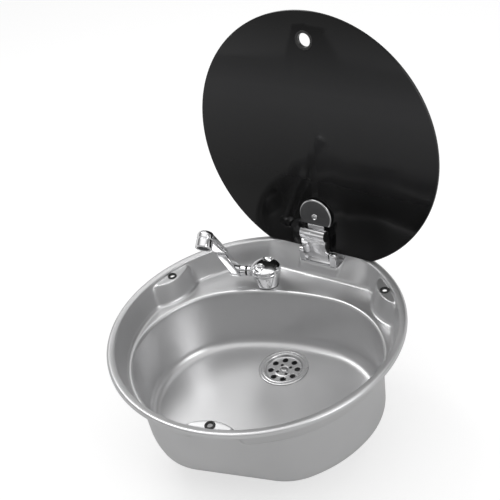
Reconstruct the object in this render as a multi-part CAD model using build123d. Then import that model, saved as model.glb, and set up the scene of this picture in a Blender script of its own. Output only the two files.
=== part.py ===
from build123d import *
import os

# Round inset sink with a hinged dark glass lid and a fold-down tap, in millimetres.
#
# The origin is on the axis of the sink, in the plane of the worktop. +Z points up. -Y points at the
# front fixing tab. The lid's hinge is at the back, a little to the right of +Y, at HINGE_ANGLE.
# The rim lies on the worktop, and the bowl hangs through a round cut-out.
# The lid stands open and the spout is raised, as they are stored.

# Pressed sheet
SHEET = 0.8
RIM_RADIUS = 210.0
RIM_HEIGHT = 6.0
RIM_EDGE_RADIUS = 2.5
RIM_INNER_RADIUS = 3.0
RIM_FLOOR = 3.0
RIM_WIDTH = 12.0
WALL_STEP = 0.4
DRAFT = 14.0
LEDGE_DEPTH = 34.0
BOWL_DEPTH = 134.5
BOWL_DRAFT = 2.0
FLOOR_FILLET = 16.0
LEDGE_FILLET = 5.0
SEAL_INSET = 0.6
LIP_MARGIN = 3.7
RECESS_FILLET = 5.0
TAB_FILLET = 20.0
HINGE_EDGE = 8.0

# Tabs that carry the fixing screws and the lid's buffers
TAB_ANGLES = (270.0, 150.0, 30.0)
TAB_REACH = 29.0
TAB_BULGE_RADIUS = 55.7
FIXING_INSET = 20.0
FIXING_HOLE = 3.0
BUFFER_RADIUS = 6.9
BUFFER_HEIGHT = 2.2
BUFFER_CLEARANCE = 0.4
BUFFER_LIP = 0.8

# Bowl outline, seen from above, with the ledge's width at the front and at the back of the bowl
FRONT_LEDGE = 28.7
BACK_LEDGE = 94.0
FLAT_LEDGE = 46.5
CORNER_TIGHTENING = 52.3
BACK_FLATTENING = 150.0
BOWL_FRONT_BLEND = 85.0

# Flat wall and notch for the hinge
HINGE_ANGLE = 74.0
HINGE_FLAT_INSET = 34.5
NOTCH_HALF_WIDTH = 34.0
NOTCH_DEPTH = 15.0
NOTCH_BACK_INSET = 13.0

# Hinge, in the lid's own directions
HINGE_AXIS_INSET = 32.2
HINGE_AXIS_DROP = 3.13
OPEN_ANGLE = 95.7
PIN_RADIUS = 3.0
RUNNING = 0.05
PUSH = 0.02
SCREW_CLEARANCE = 0.1
CHEEK_WALL = 2.5
CHEEK_INNER = 21.5
CHEEK_OUTER = 31.0
BASE_THICKNESS = 3.0
BASE_AHEAD = 5.4
BASE_BEHIND = 15.2
CHEEK_FOOT = 16.0
ARM_HALF_WIDTH = 20.4
BARREL_WALL = 2.4
RIDGE_START = 33.0
RIDGE_END = 46.0
RIDGE_FACE = -17.0
WASHER_THICKNESS = 0.7
CLIP_THICKNESS = 0.8
SCREW_RADIUS = 2.0
SCREW_BEHIND = 9.2
SCREW_SPREAD = 12.5

# Glass lid
GLASS_INSET = 15.6
GLASS_THICKNESS = 5.0
GLASS_CLEARANCE = 0.5
GLASS_CORNER = 6.0
GLASS_POLISH = 0.8
FINGER_HOLE_INSET = 40.1
FINGER_HOLE_RADIUS = 11.6
RING_WALL = 1.6
RING_OVERHANG = 2.0
RING_LIP = 0.8
RING_GAP = 0.1
CLAMP_REACH = 64.4
CLAMP_SCREW_RADIUS = 3.0
CLAMP_HOLE_RADIUS = 6.0
CLAMP_DISC_RADIUS = 27.0
CLAMP_DISC_THICKNESS = 4.5
CLAMP_FACE_RADIUS = 25.0
CLAMP_FLAT = 14.5
GASKET_THICKNESS = 1.0
BLADE_WIDTH = 20.0
BLADE_THICKNESS = 2.0
BLADE_END = 10.0
NECK_WIDTH = 28.0
NECK_THICKNESS = 4.0

# Tap
TAP_SIDE = -26.5
TAP_BEHIND_BOWL = 20.0
TAP_HEIGHT = 28.0
TAP_FOOT_RADIUS = 16.8
TAP_TOP_RADIUS = 23.0
TAP_GASKET = 1.0
KNOB_GAP = 0.4
KNOB_HEIGHT = 10.6
KNOB_TURN = -16.0
KNOB_HOLLOW_RADIUS = 9.2
KNOB_HOLLOW_SIDE = 13.8
KNOB_HOLLOW_BACK = 3.0
INDEX_INSET = 8.0
INDEX_SIZE = (9.0, 7.0)
SPINDLE_RADIUS = 4.0
SPINDLE_GRIP = 6.0
CARTRIDGE_RADIUS = 12.8
CARTRIDGE_NECK = 8.0
CARTRIDGE_DROP = 3.2
SHANK_RADIUS = 9.9
SHANK_GRIP = 7.0
SHANK_BORE = 6.0
SHANK_LENGTH = 46.0
TAIL_RADIUS = 5.0
TAIL_LENGTH = 20.0
STUB_DROP = 6.0
STUB_RADIUS = 6.5
STUB_SPIGOT = 4.0
STUB_NECK = 5.8
COLLAR_RADIUS = 8.2
SPOUT_OFFSET = 24.2
SPOUT_HUB_WIDTH = 14.0
SPOUT_HUB_RADIUS = 9.5
SPOUT_LENGTH = 142.0
SPOUT_RAISED = 55.8
NOZZLE_RADIUS = 12.0
HEAD_START = 75.0
ARM_WIDTH = 14.0
ARM_DEPTH = 15.5
ARM_THINNING = 4.0
ARM_CREST = 7.2
ARM_CORNER = 3.0
HEAD_WIDTH = 20.6
HEAD_DEPTH = 9.4
HEAD_DEEPENING = 2.0
HEAD_CREST = 7.9
HEAD_CORNER = 3.5
TONGUE_LENGTH = 14.0
TONGUE_DEPTH = 5.0

# Waste
WASTE_SIDE = 6.0
WASTE_MARGIN = 3.5
WASTE_HOLE = 31.0
WASTE_SCREW_RADIUS = 3.0
FLANGE_OVERLAP = 7.5
FLANGE_THICKNESS = 1.6
STRAINER_GAP = 3.0
STRAINER_DEPTH = 5.0
STRAINER_HOLE = 4.6
DISH_WALL = 1.5
TOP_SEAL = 0.5
WASTE_GASKET = 2.5
CUP_WALL = 3.0
SPIGOT_RADIUS = 12.5
SPIGOT_LENGTH = 32.0

# Sizes and places that follow from the ones above
WALL_RADIUS = RIM_RADIUS - RIM_WIDTH
RIM_TOP = RIM_HEIGHT
TAB_APEX = RIM_RADIUS - TAB_REACH
FIXING_RADIUS = RIM_RADIUS - FIXING_INSET
HINGE_FLAT = RIM_RADIUS - HINGE_FLAT_INSET
NOTCH_BACK_RADIUS = RIM_RADIUS - NOTCH_BACK_INSET
BOWL_FRONT_RADIUS = RIM_RADIUS - FRONT_LEDGE
BOWL_CORNER_RADIUS = BOWL_FRONT_RADIUS - CORNER_TIGHTENING
BOWL_BACK_RADIUS = RIM_RADIUS + BACK_FLATTENING
BOWL_BACK = RIM_RADIUS - BACK_LEDGE
BOWL_FRONT_FLAT = RIM_RADIUS - FLAT_LEDGE
HINGE_AXIS_DISTANCE = RIM_RADIUS - HINGE_AXIS_INSET
HINGE_Z = RIM_TOP - HINGE_AXIS_DROP
HINGE_FRAME = Rot(0, 0, HINGE_ANGLE - 90.0)
HINGE_LINE = Axis((0, HINGE_AXIS_DISTANCE, HINGE_Z), (1, 0, 0))
HINGE_SCREWS = [(side * SCREW_SPREAD, HINGE_AXIS_DISTANCE + SCREW_BEHIND) for side in (-1, 1)]
BARREL_RADIUS = PIN_RADIUS + BARREL_WALL
GLASS_RADIUS = RIM_RADIUS - GLASS_INSET
GLASS_CHORD = HINGE_AXIS_DISTANCE - BARREL_RADIUS + GLASS_CLEARANCE
FINGER_HOLE_DISTANCE = GLASS_RADIUS - FINGER_HOLE_INSET
CLAMP_DISTANCE = HINGE_AXIS_DISTANCE - CLAMP_REACH
CLAMP_BORE = CLAMP_SCREW_RADIUS + SCREW_CLEARANCE
ARM_TOP = HINGE_AXIS_DROP - GASKET_THICKNESS
TAP_HOLE = SHANK_RADIUS + 1.1
TAP_FRAME = Pos(TAP_SIDE, BOWL_BACK + TAP_BEHIND_BOWL, 0)
TAP_FOOT = TAP_GASKET - LEDGE_DEPTH
TAP_SPLIT = TAP_HEIGHT - LEDGE_DEPTH
TAP_CAVITY = CARTRIDGE_RADIUS + 0.2
KNOB_LOW = TAP_SPLIT + KNOB_GAP
KNOB_TOP = TAP_SPLIT + KNOB_HEIGHT
INDEX_PLACE = TAP_TOP_RADIUS - INDEX_INSET
STUB_HEIGHT = TAP_SPLIT - STUB_DROP
STUB_START = TAP_TOP_RADIUS + 0.8
SPOUT_PLANE = -STUB_START - SPOUT_OFFSET
HUB_IN = -SPOUT_PLANE - SPOUT_HUB_WIDTH / 2
HUB_OUT = -SPOUT_PLANE + SPOUT_HUB_WIDTH / 2
SPOUT_PIVOT = (TAP_SIDE + SPOUT_PLANE, BOWL_BACK + TAP_BEHIND_BOWL, STUB_HEIGHT)
SOCKET_HEIGHT = ARM_CREST - TONGUE_DEPTH / 2 - 0.6
FLANGE_RADIUS = WASTE_HOLE + FLANGE_OVERLAP
WASTE_BACK = BOWL_BACK - FLOOR_FILLET - WASTE_MARGIN - FLANGE_RADIUS
WASTE_FRAME = Pos(WASTE_SIDE, WASTE_BACK, -BOWL_DEPTH)
STRAINER_RADIUS = WASTE_HOLE - STRAINER_GAP
CUP_RADIUS = WASTE_HOLE + 0.5
CUP_FLANGE = FLANGE_RADIUS - 0.5


# ---------------------------------------------------------------- helpers

def turned(points):
    """A solid of revolution about Z, from (radius, height) points of its half section."""
    return revolve(make_face(Plane.XZ * Polyline(*points, close=True)), Axis.Z, 360)


def ring(outer, inner, low, high):
    """A plain washer about Z between two heights."""
    body = Pos(0, 0, low) * Cylinder(outer, high - low, align=(Align.CENTER, Align.CENTER, Align.MIN))
    hole = Pos(0, 0, low) * Cylinder(inner, high - low, align=(Align.CENTER, Align.CENTER, Align.MIN))
    return body - hole


def rod(radius, low, high):
    """A cylinder about Z between two heights."""
    return Pos(0, 0, low) * Cylinder(radius, high - low, align=(Align.CENTER, Align.CENTER, Align.MIN))


def along_x(shape):
    """Turns a shape about Z into one about X, with its +Z end towards -X."""
    return Rot(0, -90, 0) * shape


def write(name, *shapes):
    """Writes one node; several shapes make a node of separate solids."""
    solids = []
    for shape in shapes:
        solids += list(shape.solids())
    part = solids[0] if len(solids) == 1 else Compound(children=solids)
    export_step(part, f"parts/{name}.step")


def opened(shape):
    """Swings a piece of the closed lid up to its stored, open place."""
    return HINGE_FRAME * shape.rotate(HINGE_LINE, -OPEN_ANGLE)


# ---------------------------------------------------------------- sink bowl

def recess_outline(grown):
    """Edge of the recess in the worktop plane: a circle with three tabs and a flat for the hinge."""
    outline = Circle(WALL_RADIUS - WALL_STEP + grown)
    for angle in TAB_ANGLES:
        centre = TAB_APEX + TAB_BULGE_RADIUS
        outline -= Rot(0, 0, angle) * Pos(centre, 0) * Circle(TAB_BULGE_RADIUS - grown)
    flat = Pos(0, HINGE_FLAT + grown) * Rectangle(2 * RIM_RADIUS, RIM_RADIUS,
                                                  align=(Align.CENTER, Align.MIN))
    outline -= HINGE_FRAME * flat
    return fillet(outline.vertices(), TAB_FILLET)


def bowl_outline(grown):
    """Edge of the bowl in the ledge: a wide front arc, round corners and a shallow back arc."""
    front = Circle(BOWL_FRONT_RADIUS + grown)
    back = Pos(0, BOWL_BACK - BOWL_BACK_RADIUS) * Circle(BOWL_BACK_RADIUS + grown)
    straight = Pos(0, -BOWL_FRONT_FLAT - grown) * Rectangle(4 * RIM_RADIUS, 4 * RIM_RADIUS,
                                                            align=(Align.CENTER, Align.MIN))
    outline = front & back & straight
    corners = outline.vertices().sort_by(Axis.Y)
    outline = fillet(corners[2:], BOWL_CORNER_RADIUS + grown)
    corners = outline.vertices().sort_by(Axis.Y)
    return fillet(corners[:2], BOWL_FRONT_BLEND + grown)


def level_edges(space, height, inside):
    """Edges that lie flat at a height, with their middles nearer the sink's axis than the radius."""
    edges = space.edges().filter_by(lambda e: e.bounding_box().size.Z < 0.01)
    return [e for e in edges if abs(e.center().Z - height) < 0.01
            and (e.center() - Vector(0, 0, height)).length < inside]


def basin(grown):
    """The space inside the sheet, grown outwards by the sheet's thickness for its outer skin."""
    well = rod(WALL_RADIUS + grown, -grown, RIM_FLOOR)
    recess = extrude(Pos(0, 0, -grown) * recess_outline(grown), amount=-LEDGE_DEPTH, taper=DRAFT)
    foot = recess.faces().sort_by(Axis.Z)[0].edges()
    recess = fillet(foot, RECESS_FILLET + grown)
    drop = BOWL_DEPTH - LEDGE_DEPTH
    bowl = extrude(Pos(0, 0, -LEDGE_DEPTH - grown) * bowl_outline(grown), amount=-drop, taper=BOWL_DRAFT)
    bowl = fillet(bowl.faces().sort_by(Axis.Z)[0].edges(), FLOOR_FILLET + grown)
    space = recess + bowl
    lip = level_edges(space, -LEDGE_DEPTH - grown, BOWL_FRONT_RADIUS + LIP_MARGIN)
    space = fillet(lip, LEDGE_FILLET - grown)
    space = well + space
    flat_middle = (HINGE_FRAME * Pos(0, HINGE_FLAT + grown, -grown)).position
    flat_edge = space.edges().sort_by_distance(flat_middle)[0]
    space = fillet(flat_edge, HINGE_EDGE - grown)
    notch = Pos(0, HINGE_FLAT, -NOTCH_DEPTH - grown) * Box(
        2 * (NOTCH_HALF_WIDTH + grown), 2 * RIM_WIDTH + 40.0, NOTCH_DEPTH + grown,
        align=(Align.CENTER, Align.CENTER, Align.MIN))
    notch = notch & rod(NOTCH_BACK_RADIUS + grown, -NOTCH_DEPTH - grown, 0)
    return space + HINGE_FRAME * notch


def rim():
    """The rolled edge that lies on the worktop."""
    inner = WALL_RADIUS + RIM_INNER_RADIUS
    crest = RIM_RADIUS - RIM_EDGE_RADIUS
    under = RIM_TOP - SHEET
    with BuildPart() as part:
        with BuildSketch(Plane.XZ):
            with BuildLine():
                CenterArc((inner, RIM_FLOOR), RIM_INNER_RADIUS, 90, 90)
                Line((inner, RIM_TOP), (crest, RIM_TOP))
                CenterArc((crest, RIM_TOP - RIM_EDGE_RADIUS), RIM_EDGE_RADIUS, 0, 90)
                Line((RIM_RADIUS, RIM_TOP - RIM_EDGE_RADIUS), (RIM_RADIUS, 0))
                Line((RIM_RADIUS, 0), (RIM_RADIUS - SHEET, 0))
                Line((RIM_RADIUS - SHEET, 0), (RIM_RADIUS - SHEET, RIM_TOP - RIM_EDGE_RADIUS))
                CenterArc((crest, RIM_TOP - RIM_EDGE_RADIUS), RIM_EDGE_RADIUS - SHEET, 0, 90)
                Line((crest, under), (inner, under))
                CenterArc((inner, RIM_FLOOR), RIM_INNER_RADIUS - SHEET, 90, 90)
                Line((WALL_RADIUS + SHEET, RIM_FLOOR), (WALL_RADIUS, RIM_FLOOR))
            make_face()
        revolve(axis=Axis.Z)
    return part.part


def sink_bowl():
    """The one pressed sheet: rim, recess with tabs, ledge, bowl, and its punched holes."""
    sheet = basin(SHEET) - basin(0) + rim()
    for angle in TAB_ANGLES:
        sheet -= Rot(0, 0, angle) * Pos(FIXING_RADIUS, 0, 0) * rod(FIXING_HOLE, -5, 5)
    sheet -= TAP_FRAME * rod(TAP_HOLE, -LEDGE_DEPTH - 5, -LEDGE_DEPTH + 5)
    sheet -= WASTE_FRAME * rod(WASTE_HOLE, -5, 5)
    for x, y in HINGE_SCREWS:
        sheet -= HINGE_FRAME * Pos(x, y, 0) * rod(SCREW_RADIUS + 0.3, -NOTCH_DEPTH - 5, -NOTCH_DEPTH + 5)
    return sheet


def rim_seal():
    """Rubber seal under the rim, level with the worktop."""
    inner = WALL_RADIUS + RIM_INNER_RADIUS
    outer = RIM_RADIUS - SHEET - SEAL_INSET
    crest = RIM_RADIUS - RIM_EDGE_RADIUS
    return turned([(inner, 0), (outer, 0), (outer, RIM_TOP - RIM_EDGE_RADIUS), (crest, RIM_TOP - SHEET),
                   (inner, RIM_TOP - SHEET)])


def lid_buffer():
    """Low rubber ring on a tab, open for the fixing screw."""
    inner = FIXING_HOLE + BUFFER_CLEARANCE
    return turned([(inner, 0), (BUFFER_RADIUS, 0), (BUFFER_RADIUS, BUFFER_HEIGHT - BUFFER_LIP),
                   (BUFFER_RADIUS - BUFFER_LIP, BUFFER_HEIGHT), (inner + 1.4, BUFFER_HEIGHT),
                   (inner + 1.0, BUFFER_LIP), (inner, BUFFER_LIP)])


# ---------------------------------------------------------------- waste

def waste_flange():
    """Dished strainer with a ring of drain holes and a seat for the middle screw."""
    rim_z = FLANGE_THICKNESS + TOP_SEAL
    low = -STRAINER_DEPTH
    outside = STRAINER_RADIUS + DISH_WALL
    dish = turned([(0, low), (STRAINER_RADIUS, low), (outside, low + DISH_WALL), (outside, TOP_SEAL),
                   (FLANGE_RADIUS, TOP_SEAL), (FLANGE_RADIUS, 1.2), (FLANGE_RADIUS - 2.0, rim_z),
                   (STRAINER_RADIUS, rim_z - 0.4), (STRAINER_RADIUS, low + DISH_WALL), (0, low + DISH_WALL)])
    for k in range(8):
        spot = Rot(0, 0, 45 * k + 10) * Pos(STRAINER_RADIUS - 7.5, 0, 0)
        dish -= spot * rod(STRAINER_HOLE, low - 1, low + 3)
    for k in range(4):
        dish -= Rot(0, 0, 90 * k + 32) * Pos(10.5, 0, 0) * rod(2.6, low - 1, low + 3)
    return dish - rod(WASTE_SCREW_RADIUS + SCREW_CLEARANCE, low - 1, low + 3)


def waste_screw():
    """Middle screw that draws the flange and the waste body together."""
    low = -STRAINER_DEPTH + DISH_WALL
    head = turned([(0, low), (6.0, low), (6.0, low + 1.2), (4.0, low + 2.6), (0, low + 2.6)])
    slot = Pos(0, 0, low + 2.4) * Box(8.5, 1.4, 1.6)
    return head - slot + rod(WASTE_SCREW_RADIUS, low - 22, low)


def waste_body():
    """Moulded cup under the floor, with a cross that holds the screw and a spigot for the hose."""
    top = -SHEET - WASTE_GASKET
    foot = -33.0
    bore = SPIGOT_RADIUS - 2.5
    outside = CUP_RADIUS + CUP_WALL
    cup = turned([(14.0, foot + 3.0), (SPIGOT_RADIUS, foot), (SPIGOT_RADIUS, foot - SPIGOT_LENGTH),
                  (bore, foot - SPIGOT_LENGTH), (bore, foot + 5.5),
                  (CUP_RADIUS - 1.3, -22), (CUP_RADIUS, -15), (CUP_RADIUS, top), (CUP_FLANGE, top),
                  (CUP_FLANGE, top - 3.0), (outside, top - 3.0), (outside, -17), (outside - 1.5, -24)])
    span = 2 * CUP_RADIUS - 2.0
    web = Pos(0, 0, -21) * Box(span, 3.0, 9.0) + Pos(0, 0, -21) * Box(3.0, span, 9.0)
    boss = rod(7.5, -26.5, -12.0)
    hole = rod(WASTE_SCREW_RADIUS + RUNNING, -26, -10)
    return cup + (web & rod(CUP_RADIUS - 0.5, -26, -10)) + boss - hole


# ---------------------------------------------------------------- hinge

def hinge_base():
    """Bracket on the notch floor, with a rounded cheek at each end for the pin."""
    floor = -NOTCH_DEPTH
    depth = BASE_AHEAD + BASE_BEHIND
    front = HINGE_AXIS_DISTANCE - BASE_AHEAD
    plate = Pos(0, front + depth / 2, floor) * Box(
        2 * CHEEK_OUTER, depth, BASE_THICKNESS, align=(Align.CENTER, Align.CENTER, Align.MIN))
    round_end = Pos(HINGE_AXIS_DISTANCE, HINGE_Z) * Circle(PIN_RADIUS + CHEEK_WALL)
    foot = Pos(front, floor) * Rectangle(CHEEK_FOOT, BASE_THICKNESS, align=(Align.MIN, Align.MIN))
    profile = make_hull(round_end.edges() + foot.edges())
    cheek = extrude(Plane.YZ * profile, amount=CHEEK_OUTER - CHEEK_INNER)
    base = plate + Pos(CHEEK_INNER, 0, 0) * cheek + Pos(-CHEEK_OUTER, 0, 0) * cheek
    base -= pin_bore(PIN_RADIUS + PUSH, CHEEK_OUTER)
    for x, y in HINGE_SCREWS:
        base -= Pos(x, y, 0) * rod(SCREW_RADIUS + 0.2, floor - 1, floor + BASE_THICKNESS + 1)
    return base


def pin_bore(radius, half_length):
    """A round bar on the hinge axis."""
    bar = Pos(0, 0, -half_length) * Cylinder(radius, 2 * half_length,
                                             align=(Align.CENTER, Align.CENTER, Align.MIN))
    return Pos(0, HINGE_AXIS_DISTANCE, HINGE_Z) * Rot(0, 90, 0) * bar


def on_hinge_axis(shape, x):
    """Puts a shape made about Z on the hinge axis, its foot at x."""
    return Pos(x, HINGE_AXIS_DISTANCE, HINGE_Z) * Rot(0, 90, 0) * shape


def hinge_pin():
    """Pin with a low head on the right-hand cheek."""
    head = turned([(0, 0), (PIN_RADIUS + 1.6, 0), (PIN_RADIUS + 1.6, 0.8), (PIN_RADIUS + 0.6, 1.5), (0, 1.5)])
    return pin_bore(PIN_RADIUS, CHEEK_OUTER) + on_hinge_axis(head, CHEEK_OUTER)


def pin_clip():
    """Spring clip that keeps the pin in the left-hand cheek."""
    clip = ring(PIN_RADIUS + 1.6, PIN_RADIUS - 0.8, 0, CLIP_THICKNESS)
    return on_hinge_axis(clip, -CHEEK_OUTER - CLIP_THICKNESS - 0.2)


def friction_washer():
    """Washer between the barrel and a cheek."""
    return ring(BARREL_RADIUS - 0.2, PIN_RADIUS + 0.1, 0, WASHER_THICKNESS)


def hinge_screw():
    """Low-headed screw through the base and the notch floor."""
    top = -NOTCH_DEPTH + BASE_THICKNESS
    head = turned([(0, top), (4.0, top), (4.0, top + 1.0), (2.6, top + 2.0), (0, top + 2.0)])
    cross = Pos(0, 0, top + 2.0) * (Box(3.6, 0.9, 2.0) + Box(0.9, 3.6, 2.0))
    return head - cross + rod(SCREW_RADIUS, -NOTCH_DEPTH - 9.0, top)


def hinge_nut():
    """Flanged nut under the notch floor."""
    top = -NOTCH_DEPTH - SHEET
    nut = rod(5.2, top - 1.0, top)
    hexagon = Pos(0, 0, top - 4.6) * extrude(RegularPolygon(4.0, 6, major_radius=False), amount=3.6)
    return nut + hexagon - rod(SCREW_RADIUS + PUSH, top - 6, top + 1)


def from_lid(s, w):
    """A point of the lid's side view: s along the glass from the hinge, w out of its inner side."""
    return (HINGE_AXIS_DISTANCE - s, HINGE_Z + w)


def hinge_arm():
    """Cast arm from the pin to the clamp: a barrel, a ribbed front, a round ridge and a tongue."""
    barrel = Pos(*from_lid(0, 0)) * Circle(BARREL_RADIUS)
    front = [(-4.6, -2.8), (-4.4, -8.0), (-2.6, -9.8), (6.0, -11.0), (26.0, -13.2), (26.8, -11.2),
             (30.4, -11.6), (31.2, -14.0)]
    ridge_middle = (RIDGE_START + RIDGE_END) / 2 - 1.0
    with BuildSketch() as sketch:
        with BuildLine():
            points = [from_lid(s, w) for s, w in front]
            Polyline(*points)
            ThreePointArc(from_lid(31.2, -14.0), from_lid(ridge_middle, RIDGE_FACE),
                          from_lid(RIDGE_END, -12.5))
            Polyline(from_lid(RIDGE_END, -12.5), from_lid(RIDGE_END, ARM_TOP), from_lid(1.0, ARM_TOP),
                     from_lid(-4.6, -2.8))
        make_face()
        add(barrel)
    arm = extrude(Plane.YZ * sketch.sketch, amount=ARM_HALF_WIDTH, both=True)
    arm += arm_plate(RIDGE_END, CLAMP_REACH + BLADE_END, BLADE_WIDTH, BLADE_THICKNESS)
    arm += arm_plate(RIDGE_END, CLAMP_REACH - CLAMP_FLAT - 0.5, NECK_WIDTH, NECK_THICKNESS)
    pocket = arm_plate(10.0, 40.0, 2 * ARM_HALF_WIDTH - 7.0, 9.0)
    arm -= pocket
    arm -= pin_bore(PIN_RADIUS + RUNNING, CHEEK_OUTER)
    return arm - clamp_axis(rod(CLAMP_BORE, 0, 20))


def arm_plate(start, end, width, thickness):
    """A block under the arm's top face, between two distances from the hinge."""
    middle = HINGE_AXIS_DISTANCE - (start + end) / 2
    return Pos(0, middle, HINGE_Z + ARM_TOP) * Box(
        width, end - start, thickness, align=(Align.CENTER, Align.CENTER, Align.MAX))


def clamp_axis(shape):
    """Puts a shape made about Z on the clamp screw's axis, its zero well below the glass."""
    return Pos(0, CLAMP_DISTANCE, HINGE_Z - 10.0) * shape


def clamp_plate(radius, low, high, flat):
    """A disc on the clamp axis with one straight side towards the hinge; low and high as w."""
    disc = clamp_axis(rod(radius, low + 10.0, high + 10.0))
    cut = Pos(0, CLAMP_DISTANCE + flat, HINGE_Z) * Box(
        4 * radius, 2 * radius, 40.0, align=(Align.CENTER, Align.MIN, Align.CENTER))
    return disc - cut


def clamp_disc():
    """Bevelled bright disc that presses the tongue and the gasket against the glass."""
    disc = clamp_plate(CLAMP_DISC_RADIUS, ARM_TOP - CLAMP_DISC_THICKNESS, ARM_TOP, CLAMP_FLAT)
    disc = chamfer(disc.edges().sort_by(Axis.Z)[:2], 1.4)
    side = SCREW_CLEARANCE
    slot = Pos(0, 0, side) * arm_plate(CLAMP_REACH - CLAMP_FLAT - 4.4, CLAMP_REACH + BLADE_END + side,
                                       BLADE_WIDTH + 2 * side, BLADE_THICKNESS + side)
    return disc - slot - clamp_axis(rod(CLAMP_BORE, 0, 20))


def clamp_face():
    """Thin dark plate let on to the disc."""
    high = ARM_TOP - CLAMP_DISC_THICKNESS
    plate = clamp_plate(CLAMP_FACE_RADIUS, high - 0.8, high, CLAMP_FLAT - 1.5)
    return plate - clamp_axis(rod(CLAMP_BORE, 0, 20))


def clamp_gasket(low):
    """Rubber disc between metal and glass."""
    disc = clamp_plate(CLAMP_DISC_RADIUS - 1.0, low, low + GASKET_THICKNESS, CLAMP_FLAT - 0.5)
    return disc - clamp_axis(rod(CLAMP_HOLE_RADIUS, 0, 40))


def outer_cap():
    """Cap on the outside of the glass, with the threaded boss that the screw bites into."""
    glass_top = HINGE_AXIS_DROP + GLASS_THICKNESS
    low = glass_top + GASKET_THICKNESS
    profile = [(0, low), (CLAMP_DISC_RADIUS, low), (CLAMP_DISC_RADIUS, low + 1.5),
               (CLAMP_DISC_RADIUS - 3.0, low + 4.0), (0, low + 4.6)]
    cap = clamp_axis(turned([(r, z + 10.0) for r, z in profile]))
    boss = clamp_axis(rod(CLAMP_HOLE_RADIUS - 0.6, HINGE_AXIS_DROP + 10.0, low + 10.0))
    hole = clamp_axis(rod(CLAMP_SCREW_RADIUS + PUSH, 0, low + 12.0))
    return cap + boss - hole


def clamp_screw():
    """Cross-head screw in the middle of the clamp."""
    face = ARM_TOP - CLAMP_DISC_THICKNESS - 0.8 + 10.0
    head = turned([(0, face), (5.0, face), (4.4, face - 1.4), (2.6, face - 2.2), (0, face - 2.4)])
    cross = Pos(0, 0, face - 2.4) * (Box(4.6, 1.1, 2.2) + Box(1.1, 4.6, 2.2))
    shank = rod(CLAMP_SCREW_RADIUS, face, HINGE_AXIS_DROP + GLASS_THICKNESS + GASKET_THICKNESS + 11.0)
    return clamp_axis(head - cross + shank)


# ---------------------------------------------------------------- glass lid

def glass_lid():
    """Round toughened glass with a straight side at the hinge and two drilled holes."""
    outline = Circle(GLASS_RADIUS) - Pos(0, GLASS_CHORD) * Rectangle(
        2 * GLASS_RADIUS, GLASS_RADIUS, align=(Align.CENTER, Align.MIN))
    outline = fillet(outline.vertices(), GLASS_CORNER)
    glass = extrude(Pos(0, 0, RIM_TOP) * outline, amount=GLASS_THICKNESS)
    glass = chamfer(glass.edges().filter_by(lambda e: e.bounding_box().size.Z < 0.01), GLASS_POLISH)
    glass -= Pos(0, -FINGER_HOLE_DISTANCE, 0) * rod(FINGER_HOLE_RADIUS, 0, 20)
    return glass - Pos(0, CLAMP_DISTANCE, 0) * rod(CLAMP_HOLE_RADIUS, 0, 20)


def finger_grommet():
    """Black ring snapped into the finger hole."""
    low, high = RIM_TOP, RIM_TOP + GLASS_THICKNESS
    bore, lip = FINGER_HOLE_RADIUS - RING_WALL, FINGER_HOLE_RADIUS + RING_OVERHANG
    neck, ease = FINGER_HOLE_RADIUS - RING_GAP, RING_LIP / 2
    profile = [(bore, low - ease), (bore + ease, low - RING_LIP), (lip - ease, low - RING_LIP),
               (lip, low - ease), (lip, low), (neck, low), (neck, high), (lip, high), (lip, high + ease),
               (lip - ease, high + RING_LIP), (bore + ease, high + RING_LIP), (bore, high + ease)]
    return Pos(0, -FINGER_HOLE_DISTANCE, 0) * turned(profile)


# ---------------------------------------------------------------- tap

def tap_body():
    """Flared round body with a boss for the spout's water way."""
    grip = TAP_FOOT + SHANK_GRIP
    socket = SHANK_RADIUS + 0.1
    seat = grip + 2.0
    body = turned([(SHANK_BORE, grip), (socket, grip), (socket, TAP_FOOT),
                   (TAP_FOOT_RADIUS, TAP_FOOT), (TAP_FOOT_RADIUS + 0.6, TAP_FOOT + 1.0),
                   (TAP_TOP_RADIUS, TAP_SPLIT - 4.0), (TAP_TOP_RADIUS, TAP_SPLIT - 0.8),
                   (TAP_TOP_RADIUS - 0.8, TAP_SPLIT), (TAP_CAVITY, TAP_SPLIT), (TAP_CAVITY, seat),
                   (SHANK_BORE, seat)])
    boss = Pos(0, 0, STUB_HEIGHT) * along_x(rod(STUB_NECK, TAP_CAVITY + 1.5, STUB_START))
    bore = Pos(0, 0, STUB_HEIGHT) * along_x(rod(STUB_SPIGOT + PUSH, TAP_CAVITY + 2.0, STUB_START + 1.0))
    return body + boss - bore


def tap_stub():
    """Tube out of the body's side that the spout turns on, with two collars."""
    tube = rod(STUB_RADIUS, STUB_START, HUB_OUT + 0.4) + rod(STUB_SPIGOT, TAP_CAVITY + 2.5, STUB_START)
    collars = rod(COLLAR_RADIUS, STUB_START, STUB_START + 5.0)
    collars += rod(COLLAR_RADIUS, STUB_START + 8.0, HUB_IN - 0.4)
    return Pos(0, 0, STUB_HEIGHT) * along_x(tube + collars - rod(3.0, TAP_CAVITY + 2.0, HUB_OUT + 1.0))


def stub_ring():
    """Rubber ring between the collars."""
    return Pos(0, 0, STUB_HEIGHT) * along_x(ring(COLLAR_RADIUS - 0.6, STUB_RADIUS + RUNNING,
                                                 STUB_START + 5.1, STUB_START + 7.9))


def pivot_cap():
    """Cap screwed into the end of the stub, which keeps the spout on."""
    seat = HUB_OUT + 0.4
    cap = turned([(0, seat), (9.0, seat), (9.0, seat + 1.2), (7.4, seat + 2.6), (0, seat + 2.9)])
    return Pos(0, 0, STUB_HEIGHT) * along_x(cap + rod(2.95, seat - 10.0, seat))


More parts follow.
